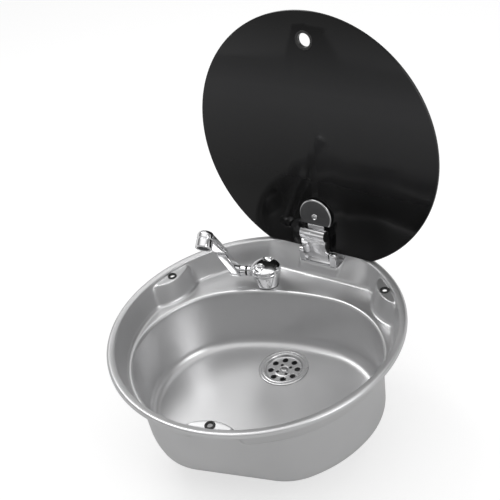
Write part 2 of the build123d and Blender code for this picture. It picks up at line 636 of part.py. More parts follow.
def tap_cartridge():
    """Ceramic valve cartridge inside the body, bored for the spindle."""
    shoulder = TAP_SPLIT - CARTRIDGE_DROP
    body = rod(CARTRIDGE_RADIUS, TAP_FOOT + SHANK_GRIP + 2.0, shoulder)
    neck = rod(CARTRIDGE_NECK, shoulder, TAP_SPLIT - 0.2)
    return body + neck - rod(SPINDLE_RADIUS + RUNNING, TAP_SPLIT - 10.0, TAP_SPLIT + 6.0)


def cartridge_nut():
    """Ring nut over the cartridge."""
    return ring(CARTRIDGE_RADIUS, CARTRIDGE_NECK + 0.1, TAP_SPLIT - CARTRIDGE_DROP, TAP_SPLIT - 0.2)


def tap_spindle():
    """Spindle that carries the knob."""
    return rod(SPINDLE_RADIUS, TAP_SPLIT - 9.6, KNOB_LOW + SPINDLE_GRIP)


def tap_knob():
    """Low domed knob with a bar across it between two hollows."""
    low = KNOB_LOW
    seat = low + SPINDLE_GRIP
    dome = turned([(0, low), (TAP_TOP_RADIUS - 0.6, low), (TAP_TOP_RADIUS, low + 0.8),
                   (TAP_TOP_RADIUS - 0.4, low + 5.0), (TAP_TOP_RADIUS - 3.0, low + 7.6),
                   (TAP_TOP_RADIUS - 9.0, low + 9.4), (0, KNOB_TOP)])
    for side in (-1, 1):
        dome -= Pos(-KNOB_HOLLOW_BACK, side * KNOB_HOLLOW_SIDE, KNOB_TOP) * Sphere(KNOB_HOLLOW_RADIUS)
    socket = rod(SPINDLE_RADIUS + PUSH, low - 1, seat)
    slot = Pos(INDEX_PLACE, 0, seat) * Box(*INDEX_SIZE, 6.0, align=(Align.CENTER, Align.CENTER, Align.MIN))
    return Rot(0, 0, KNOB_TURN) * (dome - socket - slot)


def knob_index():
    """Black mark let into the knob's bar."""
    low = KNOB_LOW + SPINDLE_GRIP
    width, depth = INDEX_SIZE
    mark = Pos(INDEX_PLACE, 0, low) * Box(width - 0.1, depth - 0.1, 3.6,
                                          align=(Align.CENTER, Align.CENTER, Align.MIN))
    mark = chamfer(mark.edges().group_by(Axis.Z)[-1], 0.6)
    return Rot(0, 0, KNOB_TURN) * mark


def tap_shank():
    """Threaded tube that passes through the ledge."""
    top = TAP_FOOT + SHANK_GRIP
    return ring(SHANK_RADIUS, SHANK_BORE, top - SHANK_LENGTH, top)


def tap_nut():
    """Hexagon nut that clamps the tap to the ledge."""
    top = -LEDGE_DEPTH - SHEET - 1.6
    hexagon = RegularPolygon(SHANK_RADIUS + 3.1, 6, major_radius=False)
    nut = Pos(0, 0, top - 7.0) * extrude(hexagon, amount=7.0)
    return nut - rod(SHANK_RADIUS + PUSH, top - 8, top + 1)


def tap_tail():
    """Hose tail in the foot of the shank."""
    top = TAP_FOOT + SHANK_GRIP - SHANK_LENGTH
    plug = rod(SHANK_BORE - PUSH, top, top + 14.0)
    flange = rod(SHANK_RADIUS - 0.4, top - 3.0, top)
    tail = rod(TAIL_RADIUS, top - 3.0 - TAIL_LENGTH, top - 3.0)
    return plug + flange + tail - rod(3.2, top - 4 - TAIL_LENGTH, top + 15)


# ---------------------------------------------------------------- spout

def raised(shape):
    """Lifts a spout made flat along -Y from its pivot at the origin to its stored place."""
    return Pos(*SPOUT_PIVOT) * (Rot(-SPOUT_RAISED, 0, 0) * shape)


def spout_section(distance, width, depth, top, corner):
    """A rounded section of the spout, square to its length."""
    plane = Plane(origin=(0, -distance, top - depth / 2), x_dir=(1, 0, 0), z_dir=(0, -1, 0))
    return plane * RectangleRounded(width, depth, corner)


def spout_arm():
    """Arm from the hub to inside the head."""
    hub = along_x(rod(SPOUT_HUB_RADIUS, -SPOUT_HUB_WIDTH / 2, SPOUT_HUB_WIDTH / 2))
    bar = loft([spout_section(2.0, ARM_WIDTH, ARM_DEPTH, ARM_CREST, ARM_CORNER),
                spout_section(HEAD_START - 1.5, ARM_WIDTH, ARM_DEPTH - ARM_THINNING, ARM_CREST, ARM_CORNER)],
               ruled=True)
    tongue = Pos(0, -HEAD_START - TONGUE_LENGTH / 2 + 1.5, SOCKET_HEIGHT) * Box(
        ARM_WIDTH, TONGUE_LENGTH + 3.0, TONGUE_DEPTH)
    return hub + bar + tongue - along_x(rod(STUB_RADIUS + RUNNING, -20, 20))


def spout_head():
    """Wider outer half of the spout, sleeved over the arm and ending in the nozzle."""
    inner = spout_section(HEAD_START, HEAD_WIDTH, HEAD_DEPTH, HEAD_CREST, HEAD_CORNER)
    outer = spout_section(SPOUT_LENGTH, HEAD_WIDTH, HEAD_DEPTH + HEAD_DEEPENING, HEAD_CREST, HEAD_CORNER)
    shell = loft([inner, outer], ruled=True)
    nozzle = turned([(0, -17.0), (NOZZLE_RADIUS - 0.6, -17.0), (NOZZLE_RADIUS, -16.0), (NOZZLE_RADIUS, -5.2),
                     (NOZZLE_RADIUS - 0.7, -4.6), (NOZZLE_RADIUS - 0.7, -3.4), (NOZZLE_RADIUS, -2.8),
                     (NOZZLE_RADIUS, 4.0), (NOZZLE_RADIUS - 2.5, 7.4), (NOZZLE_RADIUS - 6.0, 9.0), (0, 9.6)])
    head = shell + Pos(0, -SPOUT_LENGTH, 0) * nozzle
    socket = Pos(0, -HEAD_START - TONGUE_LENGTH / 2, SOCKET_HEIGHT) * Box(
        ARM_WIDTH + 2 * PUSH, TONGUE_LENGTH, TONGUE_DEPTH + 2 * PUSH)
    outlet = Pos(0, -SPOUT_LENGTH, 0) * rod(9.0, -18.0, -9.0)
    return head - socket - outlet


def aerator():
    """Perforated insert in the nozzle's mouth."""
    disc = ring(8.95, 7.0, -16.6, -10.0) + rod(7.4, -14.0, -12.0)
    for k in range(6):
        disc -= Rot(0, 0, 60 * k) * Pos(4.4, 0, 0) * rod(1.3, -15.0, -11.0)
    disc -= rod(1.3, -15.0, -11.0)
    return Pos(0, -SPOUT_LENGTH, 0) * disc


# ---------------------------------------------------------------- all the nodes

os.makedirs("parts", exist_ok=True)

write("sink_bowl", sink_bowl())
write("rim_seal", rim_seal())
write("lid_buffers", *[Rot(0, 0, a) * Pos(FIXING_RADIUS, 0, 0) * lid_buffer() for a in TAB_ANGLES])

write("waste_flange", WASTE_FRAME * waste_flange())
write("waste_screw", WASTE_FRAME * waste_screw())
write("waste_top_seal", WASTE_FRAME * ring(FLANGE_RADIUS - 2.5, WASTE_HOLE, 0, TOP_SEAL))
write("waste_gasket", WASTE_FRAME * ring(CUP_FLANGE, CUP_RADIUS, -SHEET - WASTE_GASKET, -SHEET))
write("waste_body", WASTE_FRAME * waste_body())

write("hinge_base", HINGE_FRAME * hinge_base())
write("hinge_pin", HINGE_FRAME * hinge_pin())
write("pin_clip", HINGE_FRAME * pin_clip())
write("hinge_screws", *[HINGE_FRAME * Pos(x, y, 0) * hinge_screw() for x, y in HINGE_SCREWS])
write("hinge_nuts", *[HINGE_FRAME * Pos(x, y, 0) * hinge_nut() for x, y in HINGE_SCREWS])
write("friction_washers", *[HINGE_FRAME * on_hinge_axis(friction_washer(), x)
                            for x in (ARM_HALF_WIDTH + 0.3, -CHEEK_INNER + 0.1)])

write("hinge_arm", opened(hinge_arm()))
write("glass_lid", opened(glass_lid()))
write("finger_grommet", opened(finger_grommet()))
write("clamp_disc", opened(clamp_disc()))
write("clamp_face", opened(clamp_face()))
write("clamp_gaskets", opened(clamp_gasket(ARM_TOP)), opened(clamp_gasket(HINGE_AXIS_DROP + GLASS_THICKNESS)))
write("outer_cap", opened(outer_cap()))
write("clamp_screw", opened(clamp_screw()))

write("tap_body", TAP_FRAME * tap_body())
write("tap_gasket", TAP_FRAME * ring(TAP_FOOT_RADIUS - 0.3, TAP_HOLE, -LEDGE_DEPTH, TAP_FOOT))
write("tap_cartridge", TAP_FRAME * tap_cartridge())
write("cartridge_nut", TAP_FRAME * cartridge_nut())
write("tap_spindle", TAP_FRAME * tap_spindle())
write("tap_knob", TAP_FRAME * tap_knob())
write("knob_index", TAP_FRAME * knob_index())
write("tap_shank", TAP_FRAME * tap_shank())
write("tap_washer", TAP_FRAME * ring(SHANK_RADIUS + 5.1, SHANK_RADIUS + 0.3, -LEDGE_DEPTH - SHEET - 1.6,
                                     -LEDGE_DEPTH - SHEET))
write("tap_nut", TAP_FRAME * tap_nut())
write("tap_tail", TAP_FRAME * tap_tail())
write("tap_stub", TAP_FRAME * tap_stub())
write("stub_ring", TAP_FRAME * stub_ring())
write("pivot_cap", TAP_FRAME * pivot_cap())

write("spout_arm", raised(spout_arm()))
write("spout_head", raised(spout_head()))
write("aerator", raised(aerator()))
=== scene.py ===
import math

import bmesh
import bpy
import numpy as np
from mathutils import Matrix, Vector


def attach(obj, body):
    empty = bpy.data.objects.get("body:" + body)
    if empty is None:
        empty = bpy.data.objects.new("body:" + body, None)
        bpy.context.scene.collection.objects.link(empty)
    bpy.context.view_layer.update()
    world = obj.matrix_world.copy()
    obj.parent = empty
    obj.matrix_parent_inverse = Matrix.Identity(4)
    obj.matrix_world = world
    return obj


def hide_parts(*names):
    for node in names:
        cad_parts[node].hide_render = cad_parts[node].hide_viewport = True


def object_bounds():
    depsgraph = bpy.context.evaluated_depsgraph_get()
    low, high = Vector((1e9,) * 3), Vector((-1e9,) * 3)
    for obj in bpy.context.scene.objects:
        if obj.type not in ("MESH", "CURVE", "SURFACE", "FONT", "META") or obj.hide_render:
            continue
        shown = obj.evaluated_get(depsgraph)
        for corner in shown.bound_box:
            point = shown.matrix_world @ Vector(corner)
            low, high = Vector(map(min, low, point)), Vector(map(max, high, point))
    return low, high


bl_info = {
    "name": "Round sink with glass lid",
    "version": (1, 0, 0),
    "blender": (4, 5, 0),
    "location": "3D View > Sidebar > Sink",
    "description": "Builds a round pressed sink with a hinged dark glass lid and a fold-down tap",
    "category": "Add Mesh",
}

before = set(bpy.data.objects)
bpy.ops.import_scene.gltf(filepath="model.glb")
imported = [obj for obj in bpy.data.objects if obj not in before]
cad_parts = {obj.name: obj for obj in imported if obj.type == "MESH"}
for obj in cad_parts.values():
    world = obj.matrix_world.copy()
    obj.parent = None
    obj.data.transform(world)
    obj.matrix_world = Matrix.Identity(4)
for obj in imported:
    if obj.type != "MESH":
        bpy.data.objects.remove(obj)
CAD_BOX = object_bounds()

# The meshes are worked out in millimetres and written in metres.
MM = 0.001

# Places, in millimetres and degrees, as in the CAD model
HINGE_ANGLE = 74.0
HINGE_DISTANCE = 177.8
HINGE_Z = 2.87
OPEN_ANGLE = 95.7
TAB_ANGLES = (270.0, 150.0, 30.0)
TAP_PLACE = (-26.5, 136.0, 0.0)
SPOUT_PIVOT = (-74.5, 136.0, -12.0)
SPOUT_RAISED = 55.8
WASTE_PLACE = (6.0, 58.0, -134.5)
WASTE_HOLE = 31.0
GLASS_CHORD, GLASS_CORNER, GLASS_BEVEL = 172.9, 6.0, 1.2
GLASS_UNDERSIDE, GLASS_FACE = 6.0, 11.0
FIXING_RADIUS = 190.0
FINGER_HOLE = -154.3
CLAMP_HOLE = 113.4
BRACKET_SCREW_ROW, BRACKET_SCREW_SPREAD = 187.0, 12.5
STUB_DROP = -12.0
NOZZLE_AT = -142.0

HINGE_TURN = Matrix.Rotation(math.radians(HINGE_ANGLE - 90.0), 4, "Z")
HINGE_AXIS = HINGE_TURN @ Matrix.Translation((0, HINGE_DISTANCE, HINGE_Z))
LID_OPEN = (HINGE_AXIS @ Matrix.Rotation(math.radians(-OPEN_ANGLE), 4, "X")
            @ Matrix.Translation((0, -HINGE_DISTANCE, -HINGE_Z)))
TAP = Matrix.Translation(TAP_PLACE)
SPOUT = Matrix.Translation(SPOUT_PIVOT) @ Matrix.Rotation(math.radians(-SPOUT_RAISED), 4, "X")
WASTE = Matrix.Translation(WASTE_PLACE)
PIN_TURN = Matrix.Rotation(math.radians(-90.0), 4, "Y")
PIN_LINE = HINGE_AXIS @ PIN_TURN
STUB_LINE = TAP @ Matrix.Translation((0, 0, STUB_DROP)) @ PIN_TURN
TO_NOZZLE = Matrix.Translation((0, NOZZLE_AT, 0))

# Light that the floor adds where it is seen directly, so that it comes out white
FLOOR_LIFT = 0.6
MIRRORED_LIFT = 0.15
SKY_STRENGTH = 1.1
SKY_CURVE = [(0.0, 0.78), (0.22, 0.62), (0.45, 0.20), (0.68, 0.34), (0.84, 0.90), (1.0, 1.15)]
FLOOR_HALF, FLOOR_DROP = 3.0, 0.0002

# Name, place, diameter and power of the lamps, all aimed at the sink's origin
LAMPS = [("key", (-0.9, 0.6, 1.6), 0.9, 9.0), ("fill", (1.5, -0.6, 1.2), 1.0, 9.0)]

# The camera as solved from the photograph's circles
CAMERA_LENS, CAMERA_SHIFT = 64.83, (-0.0182, -0.0449)
CAMERA_PLACE = (0.40746, -0.887175, 0.800486)
CAMERA_RIGHT = Vector((0.94461369, 0.29103663, -0.15166627))
CAMERA_UP = Vector((-0.04315589, 0.56827985, 0.82170286))


# ---------------------------------------------------------------- sizes and colours

def length(name, text, value):
    return bpy.props.FloatProperty(name=name, description=text, default=value, unit="LENGTH", precision=5)


def colour(name, text, value):
    return bpy.props.FloatVectorProperty(name=name, description=text, default=value, subtype="COLOR",
                                         size=3, min=0.0, max=1.0)


class SinkSizes(bpy.types.PropertyGroup):
    """Sizes of the pressed sink and its fittings."""
    sheet: length("Sheet", "Thickness of the pressed sheet", 0.0008)
    rim_radius: length("Rim radius", "Outer radius of the rolled rim", 0.2099)
    rim_height: length("Rim height", "Height of the rim above the worktop", 0.006)
    wall_radius: length("Wall radius", "Radius of the wall inside the rim", 0.198)
    ledge_depth: length("Ledge depth", "Depth of the ledge below the worktop", 0.034)
    bowl_depth: length("Bowl depth", "Depth of the bowl floor below the worktop", 0.1345)
    floor_radius: length("Floor radius", "Radius between the bowl wall and its floor", 0.016)
    glass_radius: length("Glass radius", "Radius of the glass lid", 0.1944)
    glass_thickness: length("Glass thickness", "Thickness of the glass lid", 0.005)


class SinkColours(bpy.types.PropertyGroup):
    """Colours of the sink's finishes."""
    steel: colour("Steel", "Satin pressed steel", (0.66, 0.66, 0.665))
    chrome: colour("Chrome", "Polished chrome", (0.86, 0.86, 0.87))
    glass: colour("Glass", "Dark tinted glass", (0.012, 0.012, 0.0125))
    plate: colour("Plate", "Matt dark plate on the hinge", (0.045, 0.045, 0.047))
    rubber: colour("Rubber", "Black rubber", (0.020, 0.020, 0.020))
    plastic: colour("Plastic", "Grey waste fitting", (0.20, 0.20, 0.21))
    brass: colour("Brass", "Turned brass", (0.74, 0.58, 0.28))
    floor: colour("Floor", "Studio floor", (0.50, 0.50, 0.50))


# ---------------------------------------------------------------- finishes

def added(tree, first, second, operation="ADD"):
    """A maths node over a socket and another socket or number."""
    made = tree.nodes.new("ShaderNodeMath")
    made.operation = operation
    tree.links.new(first, made.inputs[0])
    if isinstance(second, float):
        made.inputs[1].default_value = second
    else:
        tree.links.new(second, made.inputs[1])
    return made.outputs[0]


class Finish:
    """A node material being put together, with short ways to add and join its nodes."""

    def __init__(self, name, base, metallic, roughness):
        self.material = bpy.data.materials.new(name)
        self.material.use_nodes = True
        self.tree = self.material.node_tree
        self.shader = self.tree.nodes["Principled BSDF"]
        self.shader.inputs["Base Color"].default_value = (*base, 1.0)
        self.shader.inputs["Metallic"].default_value = metallic
        self.shader.inputs["Roughness"].default_value = roughness
        self.base = base
        self.roughness = roughness

    def node(self, kind, settings=None, **values):
        made = self.tree.nodes.new(kind)
        for key, value in (settings or {}).items():
            setattr(made, key, value)
        for key, value in values.items():
            made.inputs[key.replace("_", " ")].default_value = value
        return made

    def join(self, out, into):
        self.tree.links.new(out, into)

    def place(self, stretch=(1.0, 1.0, 1.0), turn=0.0):
        where = self.node("ShaderNodeTexCoord")
        mapping = self.node("ShaderNodeMapping")
        mapping.inputs["Scale"].default_value = stretch
        mapping.inputs["Rotation"].default_value = (0.0, 0.0, math.radians(turn))
        self.join(where.outputs["Object"], mapping.inputs["Vector"])
        return mapping.outputs["Vector"]

    def noise(self, scale, detail=3.0, stretch=(1.0, 1.0, 1.0), turn=0.0):
        made = self.node("ShaderNodeTexNoise", Scale=scale, Detail=detail)
        self.join(self.place(stretch, turn), made.inputs["Vector"])
        return made.outputs["Fac"]

    def spread(self, value, low, high, start=0.3, end=0.7):
        made = self.node("ShaderNodeMapRange")
        for key, number in (("From Min", start), ("From Max", end), ("To Min", low), ("To Max", high)):
            made.inputs[key].default_value = number
        self.join(value, made.inputs["Value"])
        return made.outputs["Result"]

    def vary_colour(self, value, dark, light):
        mix = self.node("ShaderNodeMix", {"data_type": "RGBA"})
        mix.inputs[6].default_value = (*[c * dark for c in self.base], 1.0)
        mix.inputs[7].default_value = (*[min(1.0, c * light) for c in self.base], 1.0)
        self.join(value, mix.inputs[0])
        self.join(mix.outputs[2], self.shader.inputs["Base Color"])

    def vary_roughness(self, value, amount):
        self.join(self.spread(value, self.roughness - amount, self.roughness + amount),
                  self.shader.inputs["Roughness"])

    def bump(self, height, strength, distance, before=None):
        made = self.node("ShaderNodeBump", Strength=strength, Distance=distance)
        self.join(height, made.inputs["Height"])
        if before is not None:
            self.join(before, made.inputs["Normal"])
        return made.outputs["Normal"]

    def end_normal(self, normal):
        self.join(normal, self.shader.inputs["Normal"])


def satin_steel(name, base, roughness):
    """Pressed stainless sheet: a fine satin grain, slow clouds and the soft ripples of the press."""
    finish = Finish(name, base, 0.8, roughness)
    clouds = finish.noise(9.0, 2.0)
    grain = finish.noise(900.0, 2.0, (1.0, 1.0, 0.25))
    ripple = finish.noise(11.0, 0.0, (1.0, 1.0, 0.4), 25.0)
    finish.vary_colour(clouds, 0.88, 1.05)
    finish.vary_roughness(clouds, 0.035)
    first = finish.bump(ripple, 0.09, 0.004)
    finish.end_normal(finish.bump(grain, 0.05, 0.0002, first))
    return finish.material


def polished_metal(name, base, roughness):
    """Plated or turned metal with a few faint wipe marks."""
    finish = Finish(name, base, 1.0, roughness)
    wipes = finish.noise(60.0, 4.0, (1.0, 1.0, 0.3))
    finish.vary_colour(wipes, 0.95, 1.02)
    finish.vary_roughness(wipes, roughness * 0.35)
    finish.end_normal(finish.bump(finish.noise(35.0, 1.0), 0.03, 0.001))
    return finish.material


# Heights, in metres, between which the open glass's colour is lifted from near black into a band of painted
# sheen and back
PAINTED_SHEEN_RISE, PAINTED_SHEEN_FALL = (0.10, 0.24), (0.26, 0.36)


def dark_glass(name, base):
    """Smoked toughened glass, nearly black, with faint wiping clouds in its gloss and a lighter band of
    painted sheen across its middle height.
    """
    finish = Finish(name, base, 0.0, 0.09)
    finish.shader.inputs["IOR"].default_value = 1.5
    finish.shader.inputs["Specular IOR Level"].default_value = 0.22
    clouds = finish.noise(14.0, 3.0)
    height = finish.node("ShaderNodeSeparateXYZ")
    finish.join(finish.place(), height.inputs[0])
    # Painted sheen: a band across the glass's height is coloured lighter, standing in for reflected light.
    painted_sheen_up = finish.spread(height.outputs["Z"], 0.0, 1.0, *PAINTED_SHEEN_RISE)
    fall = finish.spread(height.outputs["Z"], 1.0, 0.0, *PAINTED_SHEEN_FALL)
    finish.vary_colour(added(finish.tree, painted_sheen_up, fall, "MULTIPLY"), 0.2, 2.9)
    finish.vary_roughness(clouds, 0.03)
    return finish.material


def moulded(name, base, roughness, grain):
    """Rubber, plastic, paint or ceramic with a fine moulded grain."""
    finish = Finish(name, base, 0.0, roughness)
    clouds = finish.noise(40.0, 3.0)
    finish.vary_colour(clouds, 0.85, 1.15)
    finish.vary_roughness(clouds, 0.05)
    finish.end_normal(finish.bump(finish.noise(grain, 2.0), 0.12, 0.0003))
    return finish.material


FINISHES = {}


def make_finishes(colours):
    """One material for each slot of the record."""
    dull = [c * 0.85 for c in colours.steel]
    FINISHES.update({
        "steel": satin_steel("satin_steel", colours.steel, 0.34),
        "chrome": polished_metal("polished_chrome", colours.chrome, 0.10),
        "dark_glass": dark_glass("smoked_glass", colours.glass),
        "rubber": moulded("black_rubber", colours.rubber, 0.6, 700.0),
        "dark_plate": moulded("matt_dark_plate", colours.plate, 0.45, 900.0),
        "black_plastic": moulded("black_plastic", colours.rubber, 0.25, 500.0),
        "grey_plastic": moulded("grey_moulding", colours.plastic, 0.5, 600.0),
        "brass": polished_metal("turned_brass", colours.brass, 0.25),
        "bright_steel": polished_metal("bright_steel", dull, 0.20),
        "drain_steel": satin_steel("drain_steel", colours.steel, 0.24),
        "ceramic": moulded("valve_ceramic", (0.75, 0.75, 0.73), 0.3, 300.0),
    })


# ---------------------------------------------------------------- mesh workshop

def finish_object(name, mesh, body, slot, nodes=(), finish=None):
    """Links a finished mesh, gives it its material, and lets it ride on its body."""
    for polygon in mesh.polygons:
        polygon.use_smooth = True
    piece = bpy.data.objects.new(name, mesh)
    bpy.context.scene.collection.objects.link(piece)
    mesh.materials.clear()
    mesh.materials.append(FINISHES[finish or slot])
    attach(piece, body)
    if nodes:
        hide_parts(*nodes)
    return piece


def grid_faces(rows, columns, first=0, closed=True):
    """Quads between rings of points; the columns close on themselves."""
    faces = []
    last = columns if closed else columns - 1
    for i in range(rows - 1):
        for j in range(last):
            k = (j + 1) % columns
            faces.append((first + i * columns + j, first + i * columns + k,
                          first + (i + 1) * columns + k, first + (i + 1) * columns + j))
    return faces


def mesh_from(points, faces, name, matrix=None):
    """A mesh in metres from points in millimetres, moved to its place."""
    mesh = bpy.data.meshes.new(name)
    scale = Matrix.Scale(MM, 4)
    mesh.from_pydata([tuple(p) for p in points], [], faces)
    if matrix is not None:
        mesh.transform(matrix)
    mesh.transform(scale)
    mesh.update()
    return mesh


def moved(mesh, *places):
    """The mesh, already in metres, moved by one matrix or more in millimetres."""
    whole = Matrix.Scale(MM, 4)
    for place in places:
        whole = whole @ place
    mesh.transform(whole @ Matrix.Scale(1 / MM, 4))
    return mesh


def outward(mesh, merge=1e-6):
    """Merges doubles and turns every face of a closed mesh outwards."""
    work = bmesh.new()
    work.from_mesh(mesh)
    bmesh.ops.remove_doubles(work, verts=work.verts, dist=merge)
    bmesh.ops.recalc_face_normals(work, faces=work.faces)
    work.to_mesh(mesh)
    work.free()
    return mesh


def sharpen(mesh, degrees=35.0):
    """Marks the edges that turn more than the angle as sharp, so the flats stay flat."""
    work = bmesh.new()
    work.from_mesh(mesh)
    limit = math.radians(degrees)
    for edge in work.edges:
        edge.smooth = not (edge.is_manifold and edge.calc_face_angle(0.0) > limit)
    work.to_mesh(mesh)
    work.free()
    return mesh


def rounded(points, radius, steps=4):
    """The polyline with its inner corners rounded, in (radius, height) points."""
    made = [points[0]]
    for i in range(1, len(points) - 1):
        here = Vector(points[i])
        back = Vector(points[i - 1]) - here
        ahead = Vector(points[i + 1]) - here
        cut = min(radius, 0.45 * back.length, 0.45 * ahead.length)
        start = here + back.normalized() * cut
        end = here + ahead.normalized() * cut
        for k in range(steps + 1):
            t = k / steps
            point = start * (1 - t) ** 2 + here * 2 * t * (1 - t) + end * t ** 2
            made.append(tuple(point))
    made.append(points[-1])
    return made


def lathe(name, profile, matrix, segments=64):
    """A closed solid of revolution about Z; the profile starts and ends on the axis or closes on itself."""
    on_axis = profile[0][0] == 0 and profile[-1][0] == 0
    if not on_axis:
        profile = list(profile) + [profile[0]]
    points = []
    for radius, height in profile:
        for j in range(segments):
            turn = 2 * math.pi * j / segments
            points.append((radius * math.cos(turn), radius * math.sin(turn), height))
    mesh = mesh_from(points, grid_faces(len(profile), segments), name, matrix)
    return sharpen(outward(mesh))


def joined(name, *meshes):
    """One mesh from several, which go."""
    work = bmesh.new()
    for mesh in meshes:
        work.from_mesh(mesh)
    made = bpy.data.meshes.new(name)
    work.to_mesh(made)
    work.free()
    for mesh in meshes:
        bpy.data.meshes.remove(mesh)
    return made


def loose_object(name, mesh):
    """An object in the scene, for a mesh, lamp or camera."""
    made = bpy.data.objects.new(name, mesh)
    bpy.context.scene.collection.objects.link(made)
    return made


def applied(piece, name):
    """The piece's evaluated mesh as a plain mesh; the loose object goes."""
    bpy.context.view_layer.update()
    graph = bpy.context.evaluated_depsgraph_get()
    mesh = bpy.data.meshes.new_from_object(piece.evaluated_get(graph))
    mesh.name = name
    bpy.data.objects.remove(piece)
    return mesh


def cut_away(mesh, cutter, name):
    """The mesh less the cutter's space."""
    body, tool = loose_object("work_body", mesh), loose_object("work_tool", cutter)
    change = body.modifiers.new("cut", "BOOLEAN")
    change.operation = "DIFFERENCE"
    change.solver = "EXACT"
    change.object = tool
    made = applied(body, name)
    bpy.data.objects.remove(tool)
    return made


def arc(centre, radius, start, end, steps=10):
    """Points of a round stretch between two angles in degrees."""
    turns = [math.radians(start + (end - start) * k / steps) for k in range(steps + 1)]
    return [(centre[0] + radius * math.cos(t), centre[1] + radius * math.sin(t)) for t in turns]


def skin(name, rings, matrix=None):
    """A closed skin over rings of as many points each, with flat ends."""
    count = len(rings[0])
    points = [point for ring in rings for point in ring]
    faces = grid_faces(len(rings), count)
    faces.append(tuple(range(count)))
    faces.append(tuple(range(len(points) - count, len(points)))[::-1])
    return outward(mesh_from(points, faces, name, matrix))


def drawn_out(name, outline, low, high, matrix, ease):
    """An outline of (y, z) points drawn out along X between two places, its ends eased."""
    rings = [[(x, y, z) for y, z in outline] for x in (low, high)]
    return eased(skin(name, rings, matrix), name, ease, 40.0, 3)


def block(name, low, high, matrix=None):
    """A plain box between two corners, for cutting with or for hidden roots."""
    rings = [[(x, low[1], low[2]), (x, high[1], low[2]), (x, high[1], high[2]), (x, low[1], high[2])]
             for x in (low[0], high[0])]
    return skin(name, rings, matrix)


def eased_copy(node, name, width):
    """A merged copy of a CAD node with its hard edges eased, as a casting or machined part has them."""
    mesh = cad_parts[node].data.copy()
    mesh.materials.clear()
    work = bmesh.new()
    work.from_mesh(mesh)
    bmesh.ops.remove_doubles(work, verts=work.verts, dist=2e-6)
    bmesh.ops.dissolve_limit(work, angle_limit=math.radians(1.0), verts=work.verts, edges=work.edges)
    work.to_mesh(mesh)
    work.free()
    return eased(mesh, name, width)


def eased(mesh, name, width, limit=28.0, segments=2):
    """The mesh with its hard edges rounded over."""
    piece = loose_object("work_eased", mesh)
    bevel = piece.modifiers.new("ease", "BEVEL")
    bevel.width = width * MM
    bevel.segments = segments
    bevel.limit_method = "ANGLE"
    bevel.angle_limit = math.radians(limit)
    bevel.use_clamp_overlap = True
    bevel.miter_outer = "MITER_ARC"
    return sharpen(applied(piece, name), 40.0)


# ---------------------------------------------------------------- patterns in geometry nodes

def ring_tree(name):
    """A geometry node tree that sets copies of a shape round a circle, and its sockets by name."""
    tree = bpy.data.node_groups.new(name + "_tree", "GeometryNodeTree")
    face = tree.interface
    face.new_socket("Geometry", in_out="INPUT", socket_type="NodeSocketGeometry")
    sockets = {label: face.new_socket(label, in_out="INPUT", socket_type="NodeSocket" + kind)
               for label, kind in (("Shape", "Object"), ("Count", "Int"), ("Radius", "Float"),
                                   ("Start", "Float"), ("Material", "Material"))}
    face.new_socket("Geometry", in_out="OUTPUT", socket_type="NodeSocketGeometry")
    made = {key: tree.nodes.new(kind) for key, kind in (
        ("given", "NodeGroupInput"), ("spots", "GeometryNodePoints"), ("index", "GeometryNodeInputIndex"),
        ("share", "ShaderNodeMath"), ("angle", "ShaderNodeMath"), ("turn", "ShaderNodeCombineXYZ"),
        ("arm", "ShaderNodeCombineXYZ"), ("swing", "ShaderNodeVectorRotate"),
        ("shape", "GeometryNodeObjectInfo"), ("copies", "GeometryNodeInstanceOnPoints"),
        ("real", "GeometryNodeRealizeInstances"), ("paint", "GeometryNodeSetMaterial"),
        ("out", "NodeGroupOutput"))}
    made["share"].operation = "DIVIDE"
    made["share"].inputs[0].default_value = 2 * math.pi
    made["angle"].operation = "MULTIPLY_ADD"
    made["swing"].rotation_type = "EULER_XYZ"
    for source, output, target, into in (
            ("given", "Count", "spots", "Count"), ("given", "Count", "share", 1), ("index", 0, "angle", 0),
            ("share", 0, "angle", 1), ("given", "Start", "angle", 2), ("angle", 0, "turn", "Z"),
            ("given", "Radius", "arm", "X"), ("arm", 0, "swing", "Vector"),
            ("turn", 0, "swing", "Rotation"), ("swing", 0, "spots", "Position"),
            ("given", "Shape", "shape", "Object"), ("spots", 0, "copies", "Points"),
            ("shape", "Geometry", "copies", "Instance"), ("turn", 0, "copies", "Rotation"),
            ("copies", 0, "real", 0), ("real", 0, "paint", "Geometry"),
            ("given", "Material", "paint", "Material"), ("paint", 0, "out", 0)):
        tree.links.new(made[source].outputs[output], made[target].inputs[into])
    return tree, sockets


def ring_pattern(shape, count, radius, start, matrix, material, name):
    """Copies of a shape set round a circle by the ring tree, made a plain mesh."""
    tree, sockets = ring_tree(name)
    source = loose_object("work_shape", shape)
    carrier = loose_object("work_ring", bpy.data.meshes.new("work_ring"))
    pattern = carrier.modifiers.new("ring", "NODES")
    pattern.node_group = tree
    for label, value in (("Shape", source), ("Count", count), ("Radius", radius * MM),
                         ("Start", math.radians(start)), ("Material", material)):
        pattern[sockets[label].identifier] = value
    mesh = moved(applied(carrier, name), matrix)
    bpy.data.objects.remove(source)
    mesh.update()
    return mesh


# ---------------------------------------------------------------- the pressed sheet's outlines

BOWL_FRONT, BOWL_FLAT, BOWL_BLEND, BOWL_CORNER, BOWL_BACK = 181.3, 163.5, 85.0, 129.0, 360.0
BLEND_CENTRE = (55.8, -78.5)
CORNER_CENTRE = (49.0, -18.26)
BACK_CENTRE = (0.0, -244.0)
RECESS_RADIUS, TAB_FILLET = 197.6, 20.0
TAB_CENTRE, TAB_BULGE = 236.7, 55.7
HINGE_FLAT = 175.5
NOTCH_INNER, NOTCH_OUTER, NOTCH_DEPTH = 10.3, 12.0, 15.0
RECESS_DRAFT = math.tan(math.radians(14.0))
BOWL_DRAFT = math.tan(math.radians(2.0))
LAND_DEPTH, LAND_SLOPE = 0.0, 0.35
RIM_ROLL, WALL_TURN, WALL_TOP = 3.6, 3.0, 2.4


